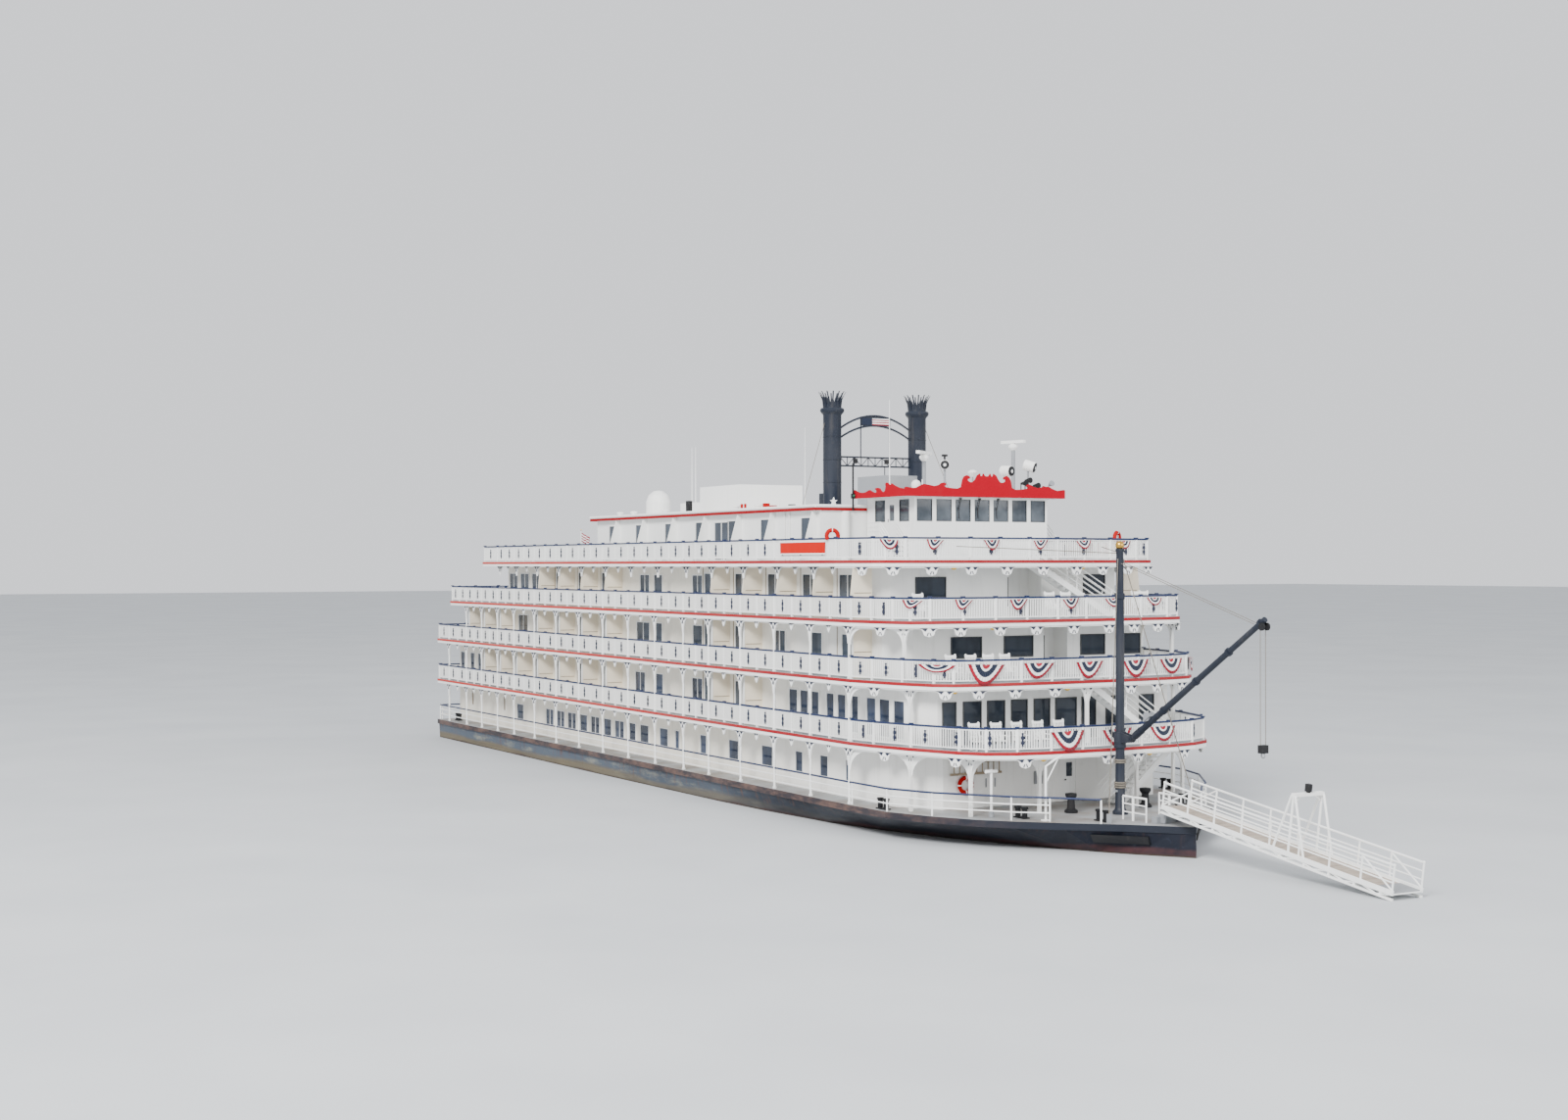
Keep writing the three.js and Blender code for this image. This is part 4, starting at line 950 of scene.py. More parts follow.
def partitions():
    for side, sign in SIDES.items():
        for deck, stations in PARTITIONS.items():
            work = Work()
            low, high = HEIGHT[deck] + CLEAR, HEIGHT[deck + 1] - SLAB - CLEAR
            for x in stations:
                if deck == 4:
                    points = [
                        (WALL, low), (WALL, high), (8.34, high), (8.48, low + 1.1), (8.48, low)]
                    work.plate(
                        [(sign * y, z) for y, z in points], "x", about(x, 0.03), "partition")
                else:
                    work.block(about(x, 0.03), (sign * WALL, sign * 8.4), (low, high), "partition")
                    work.block(about(x, 0.05), (sign * 8.36, sign * 8.42), (low, high))
                work.block(
                    (x + 0.03, x + 0.045), (sign * (WALL + 0.05), sign * 8.3),
                    (low + 1.2, low + 1.23), "seam")
            # The partitions' cream tone is painted warm reflected light on white paint.
            work.finish(f"deck{deck}_partitions_{side}", slot="warm_white_paint")


# Front windows: the wall's x, and each window's y and z spans
FRONT_WINDOWS = {
    2: (62, [
        (-6.3, -5.64, 2.95, 4.83), (-5.18, -4.27, 2.95, 4.83), (-3.86, -2.97, 2.95, 4.83),
        (-2.53, -1.71, 2.95, 4.83), (-1.26, -0.43, 2.95, 4.83), (-0.03, 1.1, 3.0, 4.83),
        (1.49, 1.85, 3.0, 4.83), (1.9, 2.22, 3.0, 4.83), (2.9, 3.7, 3.0, 4.83),
        (4.9, 5.7, 3.0, 4.83)]),
    3: (60, [
        (-4.49, -2.86, 6.76, 7.66), (-1.51, 0.08, 6.76, 7.66), (2.96, 4.34, 6.76, 7.66),
        (5.52, 6.5, 6.76, 7.66)]),
    4: (58, [(-5.14, -3.52, 9.55, 10.43), (4.67, 5.92, 9.64, 10.52)]),
}


def front_openings():
    for deck, (x, rows) in FRONT_WINDOWS.items():
        work = Work()
        for a, b, low, high in rows:
            window(work, ("x", x, 1), (a, b), (low, high), "front_glass", 1, "frame", 0.05)
        if deck > 2:
            y, floor = {3: 0.78, 4: 0.11}[deck], HEIGHT[deck] + 0.01
            work.block((x - 0.5, x - 0.1), (y, y + 0.03), (floor, floor + 2.05))
            pane = (floor + 0.5, floor + 1.9)
            work.block((x - 0.07, x + 0.01), about(y, 0.02), pane, "frame")
            work.ball((x - 0.4, y + 0.06, floor + 1.0), 0.05, "black", 8, 6)
        work.finish(f"deck{deck}_front_windows")


# Pilothouse
def pilothouse_trim():
    work = Work()
    wide, pitch, count, up = 0.84, 1.12, 7, (13.18, 14.21)
    rows = []
    for i in range(count):
        y = (i - (count - 1) / 2) * pitch
        rows.append(((y - wide / 2, y + wide / 2), ("x", PILOT_FRONT, 1)))
    for sign in (-1, 1):
        for along in ((52.42, 53.3), (54.66, 55.5)):
            rows.append((along, ("y", sign * PILOT_SIDE, sign)))
    for along, (axis, place, sign) in rows:
        window(work, (axis, place, sign), along, up, "clear", trim="frame", wide=0.035)
        inner = (axis, place + sign * 0.03, sign)
        window(work, inner, along, up, "clear", trim="frame", wide=0.02)
    for y in (-1.12, 0, 1.12):
        work.rod((56.03, y - 0.15, 14.25), (56.05, y - 0.32, 13.6), 0.018, "black", 5)
        work.rod((56.05, y - 0.32, 13.85), (56.05, y - 0.28, 13.3), 0.022, "black", 5)
        work.block((56.0, 56.06), (y - 0.24, y - 0.1), (14.24, 14.3), "black")
    work.finish("pilothouse_windows")
    for side, sign in SIDES.items():
        work = Work()
        work.block((53.72, 54.16), (sign * 3.895, sign * 3.905), (13.2, 13.98), "clear")
        work.post(53.62, sign * 3.94, 13.15, 13.3, 0.02, "black")
        work.finish(f"pilothouse_door_{side}_glass", f"pilothouse_door_{side}")
    for side, sign in SIDES.items():
        work = Work()
        outer, across = 4.98, (sign * 4.0, sign * 5.0)
        aft, level, foot, low, high = 53.5, 54.5, 55.58, 11.3, 12.16
        steps, rise, tread = 4, 0.926, 0.27
        for bar in (0.3, 0.52, 0.74, 0.95):
            for y in (outer, 4.06):
                first = aft if y == outer else level
                points = [(first, high + bar), (level + 0.1, high + bar), (foot, low + bar)]
                work.tube([(x, sign * y, z) for x, z in points], 0.028)
        for x, z in ((aft, high), (aft + 0.5, high), (level, high), (foot, low)):
            work.post(x, sign * outer, z, z + 0.97, 0.03)
        for i in range(steps):
            x = foot - i * tread
            z = SUN_FLOOR + rise / steps * (i + 1) - 0.05
            work.block((x - 0.25, x + 0.02), across, (z, z + 0.025), "steel")
        work.block((aft, 54.48), across, (high - 0.008, high + 0.01), "steel")
        work.finish(f"pilothouse_step_rails_{side}")


CREST_HALF = [
    (4.73, 14.345), (4.73, 14.76), (4.66, 14.78), (4.3, 14.73), (4.1, 14.74), (3.85, 14.86),
    (3.66, 14.93), (3.4, 14.9), (3.05, 14.84), (2.78, 14.9), (2.66, 14.99), (2.5, 15.02),
    (2.38, 14.96), (2.4, 14.88), (2.5, 14.86), (2.42, 14.8), (2.1, 14.76), (1.7, 14.74),
    (1.5, 14.82), (1.46, 15.0), (1.42, 15.18), (1.32, 15.34), (1.18, 15.4), (1.04, 15.36),
    (0.98, 15.28), (1.04, 15.22), (1.12, 15.24), (1.12, 15.14), (0.98, 15.06), (0.8, 15.08),
    (0.68, 15.2), (0.56, 15.4), (0.4, 15.5), (0.38, 15.38), (0.26, 15.36), (0.2, 15.5),
    (0.12, 15.38), (0, 15.36),
]
CREST_SIDE = [
    (51.62, 14.345), (51.6, 14.76), (51.68, 14.78), (51.86, 14.71), (52.1, 14.64), (52.47, 14.61),
    (52.75, 14.63), (53.1, 14.73), (53.29, 14.66), (53.5, 14.59), (53.7, 14.57), (53.79, 14.62),
    (53.74, 14.71), (53.62, 14.76), (53.71, 14.8), (53.88, 14.81), (54.05, 14.77), (54.15, 14.67),
    (54.28, 14.6), (54.44, 14.58), (54.57, 14.66), (54.63, 14.85), (54.6, 14.98), (54.68, 15.04),
    (54.82, 15.0), (54.92, 14.93), (55.07, 14.92), (55.15, 14.98), (55.28, 14.91), (55.53, 14.83),
    (55.82, 14.75), (56.34, 14.68), (56.34, 14.345),
]


def crest():
    work = Work()
    outline = CREST_HALF + [(-y, z) for y, z in reversed(CREST_HALF[:-1])]
    work.plate(outline, "x", (56.35, 56.43), "red")
    for sign in (-1, 1):
        work.plate(CREST_SIDE, "y", ordered(sign * 4.64, sign * 4.72), "red")
    work.finish("crest_boards", replaces=("pilothouse_crest",), slot="red_paint")


# Stacks
STACK_X, STACK_Y, STACK_R = 46, 2.66, 0.485
STACK_PROFILE = [
    (0, ROOF), (0.6, ROOF), (0.6, 14.12), (0.5, 14.2), (0.485, 14.3), (0.485, 18.95),
    (0.52, 19.02), (0.6, 19.1), (0.64, 19.18), (0.64, 19.26), (0.58, 19.33), (0.49, 19.35),
    (0.46, 19.5), (0.4, 19.5), (0.4, 18.8), (0, 18.8),
]
SPIKES = 14
SPIKE_BLADE = [
    (0.42, 19.4), (0.49, 19.4), (0.53, 19.75), (0.62, 20.0), (0.75, 20.2), (0.66, 20.05),
    (0.47, 19.78),
]
SPIKE_WEB = [(-0.11, 19.38), (0.11, 19.38), (0.06, 19.7), (0, 19.95), (-0.06, 19.7)]


def stack_dress(side, y):
    work = Work()
    x = STACK_X
    work.turned(STACK_PROFILE, (x, y, 0), "charcoal", 28)
    for z in (15.4, 16.6, 17.8):
        work.ring((x, y, z), 0.49, 0.02, "charcoal", steps=28)
    for i in range(SPIKES):
        turn = Matrix.Rotation(2 * math.pi * i / SPIKES, 4, "Z")
        spike = work.at(Matrix.Translation((x, y, 0)) @ turn)
        spike.plate(SPIKE_BLADE, "y", (-0.035, 0.035), "charcoal")
        spike.plate(SPIKE_WEB, "x", (0.455, 0.485), "charcoal")
    out = math.copysign(1, y)
    work.rod((x, y + out * 0.45, 18.6), (x + 0.6, y + out * 2.2, 13.99), 0.015, "rope", 5)
    work.finish(f"stack_{side}_dressed", replaces=(f"stack_{side}",), slot="charcoal_paint")


def stack_bridge():
    """The double arch, the truss and the striped plate between the stacks."""
    work = Work()
    x, reach = STACK_X, STACK_Y - STACK_R
    for low, peak in ((18.3, 19.02), (17.8, 18.49)):
        parts = [i / 8 - 1 for i in range(17)]
        path = [(x, reach * part, peak - (peak - low) * part * part) for part in parts]
        work.tube(path, 0.055, "charcoal", 8)
    bottom, top, cells = 16.31, 16.78, 10
    for z in (bottom, top):
        work.rod((x, -reach, z), (x, reach, z), 0.045, "charcoal", 8)
    for i in range(cells + 1):
        y = -reach + 2 * reach * i / cells
        work.post(x, y, bottom, top, 0.028, "charcoal")
        if i < cells:
            low, high = (bottom, top) if i % 2 else (top, bottom)
            work.rod((x, y, low), (x, y + 2 * reach / cells, high), 0.022, "charcoal", 5)
    work.block(about(x, 0.03), (-0.91, 0.94), (18.47, 18.96), "charcoal")
    proud, foot, stripe = (x + 0.03, x + 0.045), 18.52, 0.06
    for i in range(6):
        low, finish = foot + i * stripe, ("cloth_red", "cloth_white")[i % 2]
        work.block(proud, (-0.2, 0.85), (low, low + stripe), finish)
    work.block(proud, (-0.82, -0.2), (foot, foot + 6 * stripe), "cloth_navy")
    for sign in (-1, 1):
        work.post(x, sign * 0.9, top, 18.9, 0.035, "charcoal")
    for y in (-1.24, 0.72):
        work.block(about(x, 0.1), about(y, 0.09), (16.45, 16.7), "black")
    work.post(x, 0.6, ROOF, bottom, 0.03, "charcoal")
    work.finish("stack_bridge", replaces=("stack_spreader",), slot="charcoal_paint")


# Paddle wheel
WHEEL = {"x": -4.1, "z": 1.05, "r": 3.05, "half": 3.65, "buckets": 16}
WHEEL_FRAMES = (-3.3, -1.1, 1.1, 3.3)


def paddle_wheel():
    centre = Matrix.Translation((WHEEL["x"], 0, WHEEL["z"]))
    work = Work(centre)
    half, radius, count = WHEEL["half"], WHEEL["r"], WHEEL["buckets"]

    def at_bucket(number):
        return work.at(centre @ Matrix.Rotation(2 * math.pi * number / count, 4, "Y"))
    work.rod((0, -half - 0.84, 0), (0, half + 0.84, 0), 0.18, "steel", 20)
    for y in WHEEL_FRAMES:
        work.rod((0, y - 0.09, 0), (0, y + 0.09, 0), 0.5, "wheel", 16)
    for i in range(count):
        spoke, between = at_bucket(i), at_bucket(i + 0.5)
        for k in range(3):
            r = 2.43 + 0.2 * k
            spoke.block((r, r + 0.19), (-half, half), (0.05, 0.11), "wheel")
        for y in WHEEL_FRAMES:
            spoke.block((0.42, radius - 0.05), about(y, 0.06), (-0.05, 0.05), "wheel")
            for r in (2.6, 2.9):
                spoke.post(r, y + 0.12, 0.1, 0.14, 0.03, "steel")
            for r in (2.55, 1.7):
                chord, reach = r * math.sin(math.pi / count), r * math.cos(math.pi / count)
                between.block(about(reach, 0.06), about(y, 0.035), (-chord, chord), "wheel")
    work.finish("paddle_wheel_dressed", "paddle_wheel", ("paddle_wheel",), "wheel_red")


# Bow gear
MAST_X = 66.65
BOOM_HEEL, BOOM_TIP = Vector((67.45, 0, 3.38)), Vector((75.85, 0, 8.84))
MAST_PROFILE = [
    (0, CLEAR), (0.34, CLEAR), (0.34, 0.12), (0.26, 0.2), (0.22, 0.3), (0.2, 2.9), (0.26, 2.94),
    (0.26, 3.14), (0.19, 3.15), (0.19, 7), (0.18, 9.5), (0.22, 9.55), (0.22, 9.75), (0.17, 9.8),
    (0.16, 11.6), (0.2, 11.66), (0.2, 11.74), (0, 11.78),
]


def mast_and_boom():
    work = Work()
    work.turned(MAST_PROFILE, (MAST_X, 0, 0), "charcoal", 20)
    work.ball((MAST_X, 0, 11.9), 0.2, "gold", 16, 10)
    for z in (1.2, 1.3, 1.4, 2.3, 2.4):
        work.ring((MAST_X, 0, z), 0.24, 0.04, "rope")
    for sign in (-1, 1):
        work.block(about(MAST_X, 0.08), (sign * 0.2, sign * 0.34), (1.0, 1.08), "steel")
    work.finish("mast_dressed", replaces=("mast",), slot="charcoal_paint")
    work = Work()
    boom = work.at(seat_on(BOOM_HEEL, BOOM_TIP))
    length = (BOOM_TIP - BOOM_HEEL).length
    boom.rod((0.35, 0, 0), (length, 0, 0), 0.15, "charcoal", 16, 0.12)
    boom.rod((0.3, 0, 0), (0.8, 0, 0), 0.17, "charcoal", 16)
    for x in (2.5, 5.0, 7.4, length - 0.35):
        boom.rod((x, 0, 0), (x + 0.12, 0, 0), 0.18, "charcoal", 16)
    boom.block((-0.1, 0.42), (-0.088, 0.088), (-0.1, 0.1), "charcoal")
    for sign in (-1, 1):
        x = length - 0.2
        boom.rod((x, sign * 0.1, -0.22), (x, sign * 0.18, -0.22), 0.16, "black", 12)
        boom.rod((1.6, sign * 0.12, 0.24), (1.6, sign * 0.2, 0.24), 0.2, "steel", 14)
    boom.block((1.35, 1.85), (-0.24, 0.24), (0.12, 0.2), "steel")
    boom.rod((1.0, 0.17, 0.14), (length - 0.3, 0.15, 0.12), 0.018, "rope", 5)
    falls = 75.72
    for y in (-0.14, 0.14):
        work.post(falls, y, 8.55, 3.75, 0.016, "rope", 5)
    work.block(about(falls, 0.12), (-0.18, 0.18), (3.45, 3.78), "black")
    work.ring((falls, 0, 3.36), 0.1, 0.03, "steel", "y", 12)
    work.finish("boom_dressed", "boom", ("boom",), "charcoal_paint")
    work = Work()
    mast_head, tip = Vector((MAST_X + 0.25, 0, 11.1)), BOOM_TIP - Vector((0.5, 0, 0.2))
    for y in (-0.13, 0.13):
        across = Vector((0, y, 0))
        work.rod(mast_head + across, tip + across, 0.014, "rope", 5)
    lift = work.finish("boom_topping_lift", None, slot="wire_rope")
    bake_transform(lift)
    work = Work()
    for y in (-1, 1):
        work.rod((66.55, y * 0.12, 11.55), (60.0, y * 4.2, 11.9), 0.02, "rope", 5)
        work.rod((66.7, y * 0.15, 11.3), (68.9, y * 2.4, 0.4), 0.022, "rope", 5)
        work.block((68.8, 69.0), (y * 2.34, y * 2.46), (CLEAR, 0.4), "steel")
    work.finish("mast_stays", slot="wire_rope")


STAGE = {
    "hinge": (70.35, 0, 0.6), "end": (83.3, 0, -1.2), "half": 0.78, "floor": 0.18, "bail": 7.6}


def landing_stage():
    hinge, end = Vector(STAGE["hinge"]), Vector(STAGE["end"])
    work = Work(seat_on(hinge, end))
    length, half, floor, bail = (end - hinge).length, STAGE["half"], STAGE["floor"], STAGE["bail"]
    work.block((0, length), (-half, half), (floor - 0.06, floor - 0.01))
    work.block((0.05, length - 1.0), (-0.62, 0.62), (floor - 0.01, floor + 0.012), "tan")
    work.block((length - 1.0, length - 0.02), (-0.66, 0.66), (floor - 0.01, floor + 0.02), "steel")
    for i in range(26):
        x = 0.3 + i * (length - 1.6) / 25
        work.block(about(x, 0.015), (-0.6, 0.6), (floor + 0.012, floor + 0.025), "tan")
    bays = round(length / 1.62)
    pitch = length / bays
    for sign in (-1, 1):
        y = sign * (half - 0.03)
        girder = about(y, 0.05)
        work.block((0, length), girder, (floor - 0.28, floor - 0.2))
        work.block((0, length), girder, (floor - 0.08, floor + 0.1))
        for i in range(2 * bays):
            x = i * pitch / 2
            low, high = (-0.22, -0.04) if i % 2 else (-0.04, -0.22)
            work.rod((x, y, floor + low), (x + pitch / 2, y, floor + high), 0.035, "trim", 5)
        for z, r in ((1.05, 0.045), (0.72, 0.03), (0.4, 0.03)):
            work.rod((0.02, y, floor + z), (length - 0.02, y, floor + z), r, "trim", 8)
        for i in range(bays + 1):
            x = min(max(i * pitch, 0.05), length - 0.05)
            work.post(x, y, floor, floor + 1.05, 0.04, "trim", 8)
        for x0, x1 in ((0.05, pitch), (length - 0.05, length - pitch)):
            work.rod((x0, y, floor + 0.1), (x1, y, floor + 1.0), 0.035)
        for lean in (-0.65, 0, 0.65):
            foot, top = (bail + lean * 1.3, y, floor + 0.05), (bail + lean * 0.15, y, floor + 2.33)
            work.rod(foot, top, 0.05, "trim", 8)
        work.block((-0.12, 0.3), (sign * 0.2, sign * 0.3), (-0.09, floor), "steel")
        for x in (0.06, length - 0.06):
            work.ball((x, y, floor + 1.06), 0.06, "trim", 8, 6)
    work.block(about(bail, 0.1), (-half, half), (floor + 2.3, floor + 2.42))
    for sign in (-1, 1):
        shoulder = (bail, sign * (half - 0.05), floor + 2.05)
        work.rod(shoulder, (bail, sign * 0.35, floor + 2.3), 0.035)
    work.ring((bail, 0, floor + 2.5), 0.09, 0.03, "black", "y", 12)
    work.block(about(bail, 0.1), (-0.1, 0.1), (floor + 2.46, floor + 2.76), "black")
    for i in range(10):
        x = 0.6 + i * (length - 1.2) / 9
        work.block(about(x, 0.05), (-half, half), (floor - 0.26, floor - 0.06))
    work.finish("landing_stage_dressed", "landing_stage", ("landing_stage",))


BITT = [(0, CLEAR), (0.12, CLEAR), (0.12, 0.4), (0.16, 0.42), (0.16, 0.5), (0, 0.52)]
CAPSTAN = [
    (0, CLEAR), (0.3, CLEAR), (0.3, 0.1), (0.18, 0.2), (0.16, 0.6), (0.26, 0.74), (0.26, 0.86),
    (0, 0.9),
]
BOW_RAIL = [(57.86, 8.56), (60.8, 8.5), (63.1, 7.6), (66.04, 5.45), (67.16, 4.22), (68.82, 2.76)]
BITTS = ((65.6, 4.6), (68.2, 2.2), (60, 8.2), (2.2, 7.9))


def life_ring(work, centre):
    """A ring buoy on a wall that faces the bow, with its white bands."""
    radius = 0.33
    work.ring(centre, radius, 0.095, "buoy", "x", 24, 8)
    x, y, z = centre
    for aside, up in ((0, 1), (0, -1), (1, 0), (-1, 0)):
        def spot(shift):
            return (x, y + radius * aside + shift * up, z + radius * up + shift * aside)
        work.rod(spot(-0.03), spot(0.03), 0.104, "trim", 10)


def horseshoe_buoy(work, centre, turn):
    """A buoy open at the bottom that hangs over a rail, and the strap that holds it."""
    work = work.at(Matrix.Translation(centre) @ Matrix.Rotation(turn, 4, "Z"))

    def spot(degrees):
        angle = math.radians(degrees)
        return (0, 0.27 * math.cos(angle), 0.27 * math.sin(angle))
    work.tube([spot(degrees) for degrees in range(-40, 221, 20)], 0.1, "buoy", 10)
    work.rod(spot(86), spot(94), 0.104, "trim", 10)
    work.post(0, 0.12, -0.1, 0.24, 0.02)


def bitts_and_rails():
    work = Work()
    for y in (2.6, -1.6):
        work.turned(CAPSTAN, (65.2, y, 0), "black")
    for x, y in [(x, sign * y) for x, y in BITTS for sign in (-1, 1)]:
        for dx in (-0.25, 0.25):
            work.turned(BITT, (x + dx, y, 0), "black", 12)
        work.block(about(x, 0.4), about(y, 0.16), (CLEAR, 0.05), "black")
    work.finish("bow_and_stern_bitts", slot="dark_trim")
    for side, sign in SIDES.items():
        work = Work()
        for i, ((x0, y0), (x1, y1)) in enumerate(pairwise(BOW_RAIL)):
            last = i == len(BOW_RAIL) - 2
            bars = () if last else (0.36, 0.7)
            open_railing(work, (x0, sign * y0), (x1, sign * y1), CLEAR, bars)
        work.finish(f"main_deck_bow_railing_{side}", replaces=(f"main_deck_bow_rail_{side}",))
    work = Work()
    open_railing(work, (0.34, -8.45), (0.34, 8.45), CLEAR, posts=7)
    work.finish("main_deck_stern_railing", replaces=("main_deck_stern_rail",))
    work = Work()
    for x0, x1, y1 in ((68.1, 68.75, 1.0), (68.8, 69.6, 0.95)):
        for sign in (1, -1):
            open_railing(work, (x0, sign), (x1, sign * y1), CLEAR, (0.35, 0.7), top="trim")
    work.finish("stage_head_gates")


def foredeck_gear():
    work = Work()
    foot = Vector((66.9, -4.25, CLEAR))
    work.tube([
        foot, foot + Vector((0, 0, 2.35)), foot + Vector((-0.05, 0.5, 2.6)),
        foot + Vector((-0.1, 0.95, 2.75))], 0.055, "trim", 8)
    work.rod(foot + Vector((0, 0, 1.6)), foot + Vector((-0.07, 0.7, 2.62)), 0.03)
    work.block((66.75, 67.05), (-4.4, -4.1), (CLEAR, 0.06))
    pipe = Vector((64.73, -5.58, CLEAR))
    work.rod(pipe, pipe + Vector((0, 0, 2.1)), 0.06, "trim", 10)
    work.rod(pipe + Vector((0, -0.3, 2.0)), pipe + Vector((0, 0.3, 2.0)), 0.08, "trim", 10)
    work.rod(pipe, pipe + Vector((0, 0, 0.25)), 0.12, "steel", 12)
    work.finish("foredeck_davit_and_pipe")


def front_wall_gear():
    work = Work()
    for z in (1.57, 2.12):
        work.block((61.66, 61.74), (-5.69, -2.9), about(z, 0.05), "seam")
    for i in range(9):
        y = -5.5 + i * 0.31
        work.post(61.7, y, 1.57, 2.12, 0.03, "seam")
    for y in (-5.2, -3.5):
        work.block((61.6, 61.68), about(y, 0.04), (1.5, 2.2))
    life_ring(work, (61.72, -4.88, 1.07))
    for y in (-3.7, -3.2):
        work.post(61.63, y, 0.9, 1.3, 0.03, "steel", 8)
    work.block((61.62, 61.68), (-1.0, -0.55), (0.9, 1.5), "steel")
    work.finish("front_wall_fittings")
    work = Work()
    work.block((61.572, 61.582), (0.89, 1.21), (1.15, 1.8), "front_glass")
    work.ball((61.62, 0.8, 1.0), 0.04, "black", 8, 6)
    work.finish("main_deck_door_glass", "main_deck_door")


NAME_BOARD = ((68.49, -2.93), (70.25, -1.28))
SIDE_BOARD = ((51.24, 55.55), (11.58, 12.16))


def name_boards():
    """The bare boards that carry a boat's name."""
    work = Work()
    for sign in (-1, 1):
        (x0, y0), (x1, y1) = NAME_BOARD
        lean = 0.3
        points = [
            (x0, -y0 + lean * 0.35, -0.48), (x1, -y1 + lean * 0.2, -0.48),
            (x1, -y1 - lean * 0.1, -0.82), (x0, -y0 - lean * 0.25, -0.82)]
        front = [work.mesh.verts.new((x, sign * (y + 0.06), z)) for x, y, z in points]
        back = [work.mesh.verts.new((x - 0.05, sign * (y - 0.06), z)) for x, y, z in points]
        work.mesh.faces.new(front)
        work.mesh.faces.new(back[::-1])
        for i in range(4):
            j = (i + 1) % 4
            work.mesh.faces.new([front[i], front[j], back[j], back[i]])
        work.dress(front + back, "black")
    work.finish("bow_name_boards", slot="dark_trim")
    work = Work()
    x, z = SIDE_BOARD
    for sign in (-1, 1):
        work.block(x, (sign * 8.64, sign * 8.69), z, "plate_red")
        for edge in z:
            work.block((x[0] - 0.03, x[1] + 0.03), (sign * 8.64, sign * 8.7), about(edge, 0.03))
        horseshoe_buoy(work, (55.88, sign * 8.44, 12.42), sign * math.radians(25))
    work.finish("sun_deck_name_boards", slot="red_paint")


# Stairs: x, y at the foot and the top, and the decks they join
STAIRS = [
    ("stair_main_deck_to_deck2", (63.3, 64.1), 1.9, 5.2, 1, 2),
    ("stair_deck2_to_deck3", (62.65, 63.45), 5, 0.9, 2, 3),
    ("stair_deck4_to_deck5", (58.6, 59.4), 5.5, 0.9, 4, 5),
]


def open_stairs():
    for name, (x0, x1), foot, top, start, end in STAIRS:
        work = Work()
        low = HEIGHT[start] + CLEAR
        high = HEIGHT[end] - 0.15
        slope = work.at(seat_on((0, foot, low), (0, top, high)))
        length = math.hypot(top - foot, high - low)
        steps = round((high - low) / 0.2)
        side = 1 if top > foot else -1
        for x in (x0, x1 - 0.05):
            across = (-side * x, -side * (x + 0.05))
            slope.block((0.1, length - 0.05), across, (-0.24, 0.04))
            for bar in (0.3, 0.55, 0.8, 1.02):
                middle = -side * (x + 0.025)
                slope.rod((0.15, middle, bar), (length - 0.1, middle, bar), 0.028)
        for i in range(steps):
            y = foot + (top - foot) * (i + 0.5) / steps
            z = low + (high - low) * (i + 1) / steps - 0.06
            work.block((x0 + 0.05, x1 - 0.05), (y - 0.15, y + 0.13), (z - 0.04, z))
        for t in (0.04, 0.5, 0.97):
            y, z = foot + (top - foot) * t, low + (high - low) * t
            for x in (x0 + 0.025, x1 - 0.025):
                work.post(x, y, z, z + 1.12, 0.032)
        work.finish(f"{name}_dressed", replaces=(name,))


# Chairs on the terrace of each deck, as x and y
CHAIRS = {
    2: [(64.5, -6.1), (64.75, -5.1), (64.9, -4.1), (64.9, -2.95), (64.9, -1.8)],
    3: [(62.3, -5.85), (62.5, -4.9), (62.6, -4.0), (62.6, -3.1)],
    4: [(60.6, -6.5), (60.2, 1.2), (60.4, 2.0), (60.0, 6.6), (59.6, 7.4)],
}


def chairs():
    """White rocking chairs that face the bow."""
    for deck, spots in CHAIRS.items():
        work = Work()
        for x, y in spots:
            seat = Matrix.Translation((x, y, HEIGHT[deck] + CLEAR))
            lean = seat @ Matrix.Translation((-0.22, 0, 0.42)) @ Matrix.Rotation(-0.2, 4, "Y")
            chair, back = work.at(seat), work.at(lean)
            chair.block((-0.25, 0.25), (-0.26, 0.26), (0.4, 0.44))
            for i in range(6):
                dy = -0.2 + 0.08 * i
                back.block((-0.015, 0.015), about(dy, 0.02), (0, 0.72))
            crown = [(0.3, 0.66), (0.3, 0.8), (0.25, 0.84), (0.2, 0.78), (0, 0.77)]
            crown += [(-a, b) for a, b in reversed(crown[:-1])]
            back.plate(crown, "x", (-0.025, 0.025))
            for sign in (-1, 1):
                dy = sign * 0.26
                chair.block((-0.2, 0.3), about(dy, 0.035), (0.62, 0.65))
                for dx in (-0.2, 0.24):
                    chair.block(about(dx, 0.02), about(dy, 0.02), (0.05, 0.63))
                back.block((-0.02, 0.02), about(dy, 0.02), (0, 0.78))
                rocker = [(-0.5, dy, 0.12), (-0.25, dy, 0.045), (0, dy, 0.025), (0.3, dy, 0.05)]
                chair.tube(rocker, 0.02, "trim", 5)
        work.finish(f"deck{deck}_rocking_chairs")


def cloth(work, grid, finishes):
    """Faces between rows of vertices, with one finish for each row of faces."""
    for finish, upper, lower in zip(finishes, grid, grid[1:]):
        if finish not in work.finishes:
            work.finishes.append(finish)
        for i in range(len(upper) - 1):
            face = work.mesh.faces.new([upper[i], lower[i], lower[i + 1], upper[i + 1]])
            face.material_index = work.finishes.index(finish)


